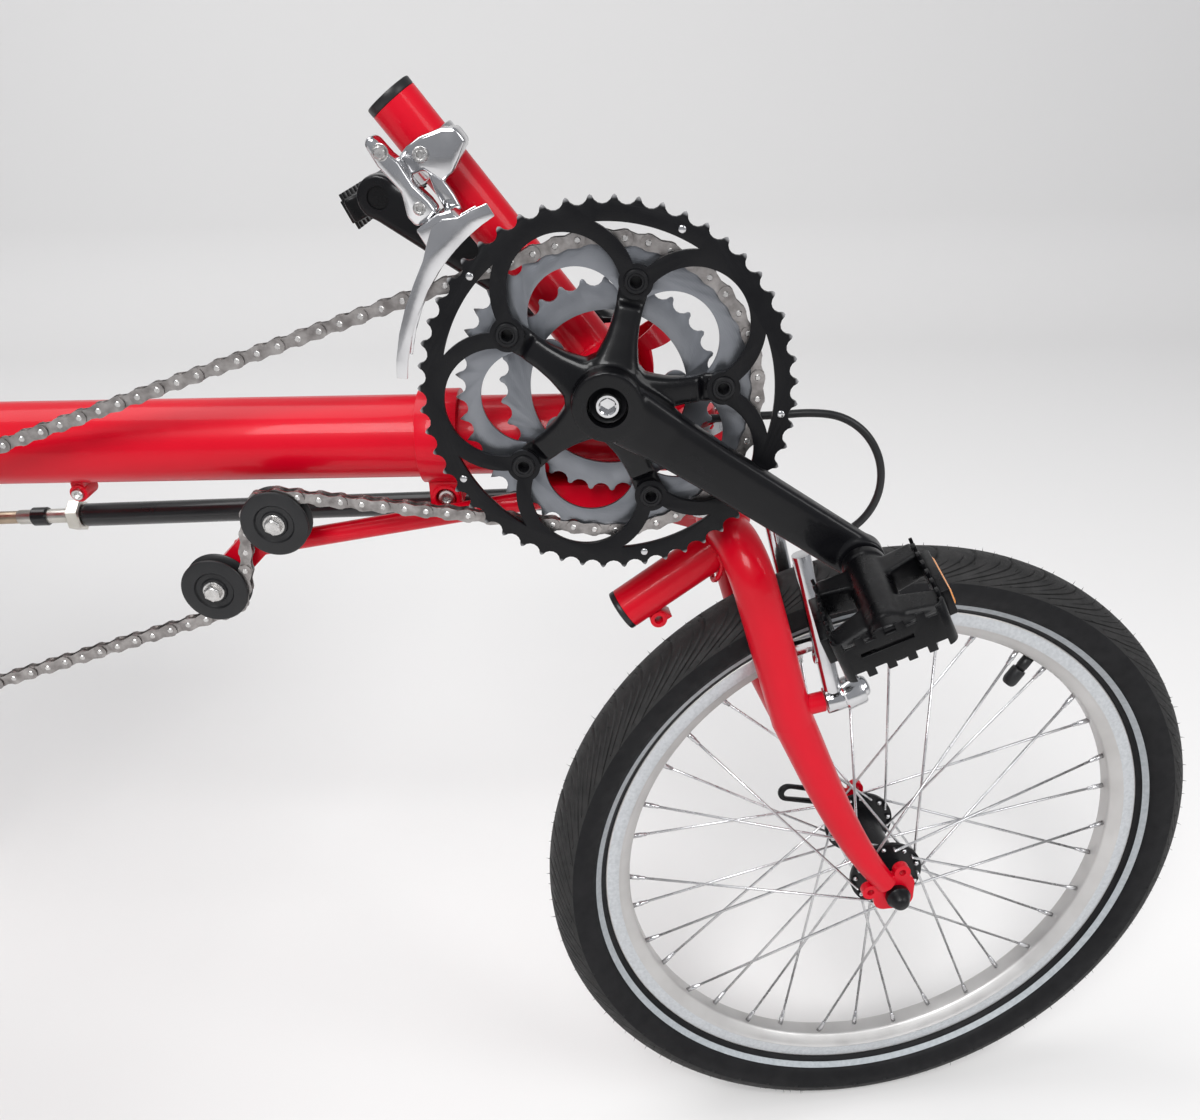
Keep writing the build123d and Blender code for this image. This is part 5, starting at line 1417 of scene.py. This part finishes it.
HOUSING_ROUTE = ((0.058, -0.018, -0.026), (0.078, -0.016, -0.0255), (0.100, -0.015, -0.0255),
                 (0.121, -0.015, -0.0240), (0.140, -0.015, -0.0265), (0.156, -0.015, -0.0375),
                 (0.166, -0.015, -0.0550), (0.168, -0.014, -0.0750), (0.162, -0.012, -0.0930),
                 (0.150, -0.010, -0.1060), (0.134, -0.006, -0.1130))


def make_housing():
    curve = bpy.data.curves.new("brake_housing", "CURVE")
    curve.dimensions = "3D"
    curve.bevel_depth = 0.0025
    curve.bevel_resolution = 4
    curve.resolution_u = 8
    curve.use_fill_caps = True
    spline = curve.splines.new("NURBS")
    spline.points.add(len(HOUSING_ROUTE) - 1)
    for point, place in zip(spline.points, HOUSING_ROUTE):
        point.co = (*near_bracket(*place), 1.0)
    spline.order_u = 3
    spline.use_endpoint_u = True
    curve.materials.append(PLASTIC)
    piece = bpy.data.objects.new("brake_housing", curve)
    bpy.context.scene.collection.objects.link(piece)
    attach(piece, "frame")
    return piece


# Seat pads

def evaluated_mesh(piece):
    bpy.context.view_layer.update()
    graph = bpy.context.evaluated_depsgraph_get()
    mesh = bpy.data.meshes.new_from_object(piece.evaluated_get(graph))
    piece.modifiers.clear()
    piece.data = mesh
    return mesh


def apply_modifier(piece, kind, **values):
    modifier = piece.modifiers.new(kind.lower(), kind)
    for key, value in values.items():
        setattr(modifier, key, value)
    return evaluated_mesh(piece)


def inflate(piece, cap):
    # Cloth under pressure, whose points move no further than the cap.
    start = [vertex.co.copy() for vertex in piece.data.vertices]
    cloth = piece.modifiers.new("cloth", "CLOTH")
    cloth.settings.use_pressure = True
    cloth.settings.uniform_pressure_force = 4.0
    cloth.settings.effector_weights.gravity = 0.0
    scene = bpy.context.scene
    for number in range(1, 21):
        scene.frame_set(number)
    mesh = evaluated_mesh(piece)
    scene.frame_set(1)
    for vertex, before in zip(mesh.vertices, start):
        move = vertex.co - before
        if move.length > cap:
            vertex.co = before + move.normalized() * cap


def seam_depth(distance, width=0.006):
    return exp(-(distance / width) ** 2)


def make_pad(name, node, axes, channels, cap=0.012):
    # axes are the pad's length, width and thickness directions. channels list (axis number, place) of seams.
    source = NODES[node]
    piece = bpy.data.objects.new(name, source.data.copy())
    bpy.context.scene.collection.objects.link(piece)
    mesh = apply_modifier(piece, "REMESH", mode="VOXEL", voxel_size=0.006)
    centre = sum((vertex.co for vertex in mesh.vertices), Vector()) / len(mesh.vertices)
    normals = [vertex.normal.copy() for vertex in mesh.vertices]
    for vertex, normal in zip(mesh.vertices, normals):
        vertex.co -= normal * 0.006
    inflate(piece, cap)
    mesh = apply_modifier(piece, "SUBSURF", levels=1)
    length, width, thick = axes
    normals = [vertex.normal.copy() for vertex in mesh.vertices]
    for vertex, normal in zip(mesh.vertices, normals):
        local = vertex.co - centre
        spans = (local.dot(length), local.dot(width), local.dot(thick))
        depth = sum(0.006 * seam_depth(spans[axis] - place) for axis, place in channels)
        side = 1 if spans[2] > 0 else -1
        facing = abs(normal.dot(thick))
        vertex.co -= thick * side * depth * facing
    shade_smooth(mesh)
    mesh.materials.clear()
    mesh.materials.append(SEAT_CLOTH)
    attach(piece, "frame")
    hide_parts(node)
    return piece


def make_seat():
    across, up = Vector((0, 1, 0)), Vector((0, 0, 1))
    make_pad("seat_base_cushion", "seat_base_pad", (Vector((1, 0, 0)), across, up),
             ((0, -0.06), (0, 0.05), (1, -0.11), (1, 0.11)))
    lean = radians(56.0)
    back_up, back_normal = Vector((-cos(lean), 0, sin(lean))), Vector((sin(lean), 0, cos(lean)))
    make_pad("seat_back_cushion", "seat_back_pad", (back_up, across, back_normal),
             ((0, -0.16), (0, 0.0), (0, 0.14), (1, -0.1), (1, 0.1)))


# Stage

def make_stage():
    mesh = bpy.data.meshes.new("studio floor")
    side, back, height = 9.0, 2.4, 5.0
    corners = [(-side, -side, GROUND_Z), (side, -side, GROUND_Z), (side, back, GROUND_Z),
               (-side, back, GROUND_Z)]
    corners += [(side, back + 0.6, GROUND_Z + 0.25), (-side, back + 0.6, GROUND_Z + 0.25)]
    corners += [(side, back + 0.9, height), (-side, back + 0.9, height)]
    mesh.from_pydata(corners, [], [(0, 1, 2, 3), (3, 2, 4, 5), (5, 4, 6, 7)])
    shade_smooth(mesh)
    floor = bpy.data.objects.new("studio floor", mesh)
    bpy.context.scene.collection.objects.link(floor)
    material, _, shader = new_material("pale floor")
    shader.inputs["Base Color"].default_value = (0.8, 0.79, 0.78, 1.0)
    shader.inputs["Roughness"].default_value = 0.9
    mesh.materials.append(material)


def add_area(name, place, target, size, power):
    light = bpy.data.lights.new(name, "AREA")
    light.size = size
    light.energy = power
    lamp = bpy.data.objects.new(name, light)
    lamp.location = place
    lamp.rotation_euler = (Vector(target) - Vector(place)).to_track_quat("-Z", "Y").to_euler()
    bpy.context.scene.collection.objects.link(lamp)


def make_lights():
    add_area("key light", (0.2, -2.6, 2.3), (0.5, 0.0, -0.3), 1.6, 95.0)
    add_area("fill light", (3.0, -1.4, 1.2), (0.6, 0.0, -0.3), 1.4, 26.0)
    add_area("top light", (-0.6, 0.4, 2.8), (0.2, 0.0, -0.3), 2.2, 50.0)
    world = bpy.data.worlds.new("studio")
    bpy.context.scene.world = world
    world.use_nodes = True
    world.node_tree.nodes["Background"].inputs["Color"].default_value = (0.93, 0.95, 1.0, 1.0)
    world.node_tree.nodes["Background"].inputs["Strength"].default_value = 0.42


def make_camera():
    camera = bpy.data.cameras.new("camera")
    camera.sensor_fit = "HORIZONTAL"
    camera.sensor_width = SENSOR_WIDTH
    camera.lens = FOCAL_PIXELS / IMAGE_WIDTH * SENSOR_WIDTH
    camera.shift_x = CENTRE_SHIFT_PIXELS[0] / IMAGE_WIDTH
    camera.shift_y = CENTRE_SHIFT_PIXELS[1] / IMAGE_WIDTH
    camera.clip_start = 0.01
    place = bpy.data.objects.new("camera", camera)
    place.location = CAMERA_PLACE
    place.rotation_euler = tuple(radians(turn) for turn in CAMERA_TURN)
    bpy.context.scene.collection.objects.link(place)
    bpy.context.scene.camera = place


make_camera()
make_housing()
dress_nodes()
make_tyre("front_tyre_tread", "front_wheel_spin", FRONT_RIM_R, ("front_tyre", "front_wheel"), True)
make_tyre("rear_tyre_tread", "rear_wheel_spin", REAR_RIM_R, ("rear_tyre", "rear_wheel"), False)
make_rim("front_rim_section", "front_wheel_spin", FRONT_RIM_R, "front_rim", "front_wheel", True)
make_rim("rear_rim_section", "rear_wheel_spin", REAR_RIM_R, "rear_rim", "rear_wheel", False)
make_spokes("front_wires", "front_wheel_spin", FRONT_RIM_R, FRONT_FLANGE_R, FRONT_FLANGES, "front_spokes",
            "front_wheel", True)
make_spokes("rear_wires", "rear_wheel_spin", REAR_RIM_R, REAR_FLANGE_R, REAR_FLANGES, "rear_spokes",
            "rear_wheel", False)
make_valve("front_valve", "front_wheel_spin", FRONT_RIM_R, radians(55.7), "front_wheel", True)
make_valve("rear_valve", "rear_wheel_spin", REAR_RIM_R, radians(75.0), "rear_wheel", False)
make_chain()
round_solids()
make_outer_ring()
make_inner_rings()
make_crank("right_crank_forged", "right_crank", -1)
make_crank("left_crank_forged", "left_crank", 1)
make_axle()
make_ring_bolts()
make_pedal(-1)
make_pedal(1)
make_idlers()
make_front_derailleur()
make_tie_rod()
make_quick_release("front_quick_release", "front_axle", "front_wheel_spin", "fork", 0.050, 166.0, True)
make_quick_release("rear_quick_release", "rear_axle", "rear_wheel_spin", "frame", 0.0675, 20.0, False)
make_brake_pivots()
make_stub_lug()
make_frame_bolts()
make_shift_pins()
make_reflector(-1)
make_reflector(1)
make_frame_welds()
make_fork_welds()
make_seat()
make_stage()
make_lights()
bpy.context.scene.view_settings.view_transform = "Standard"
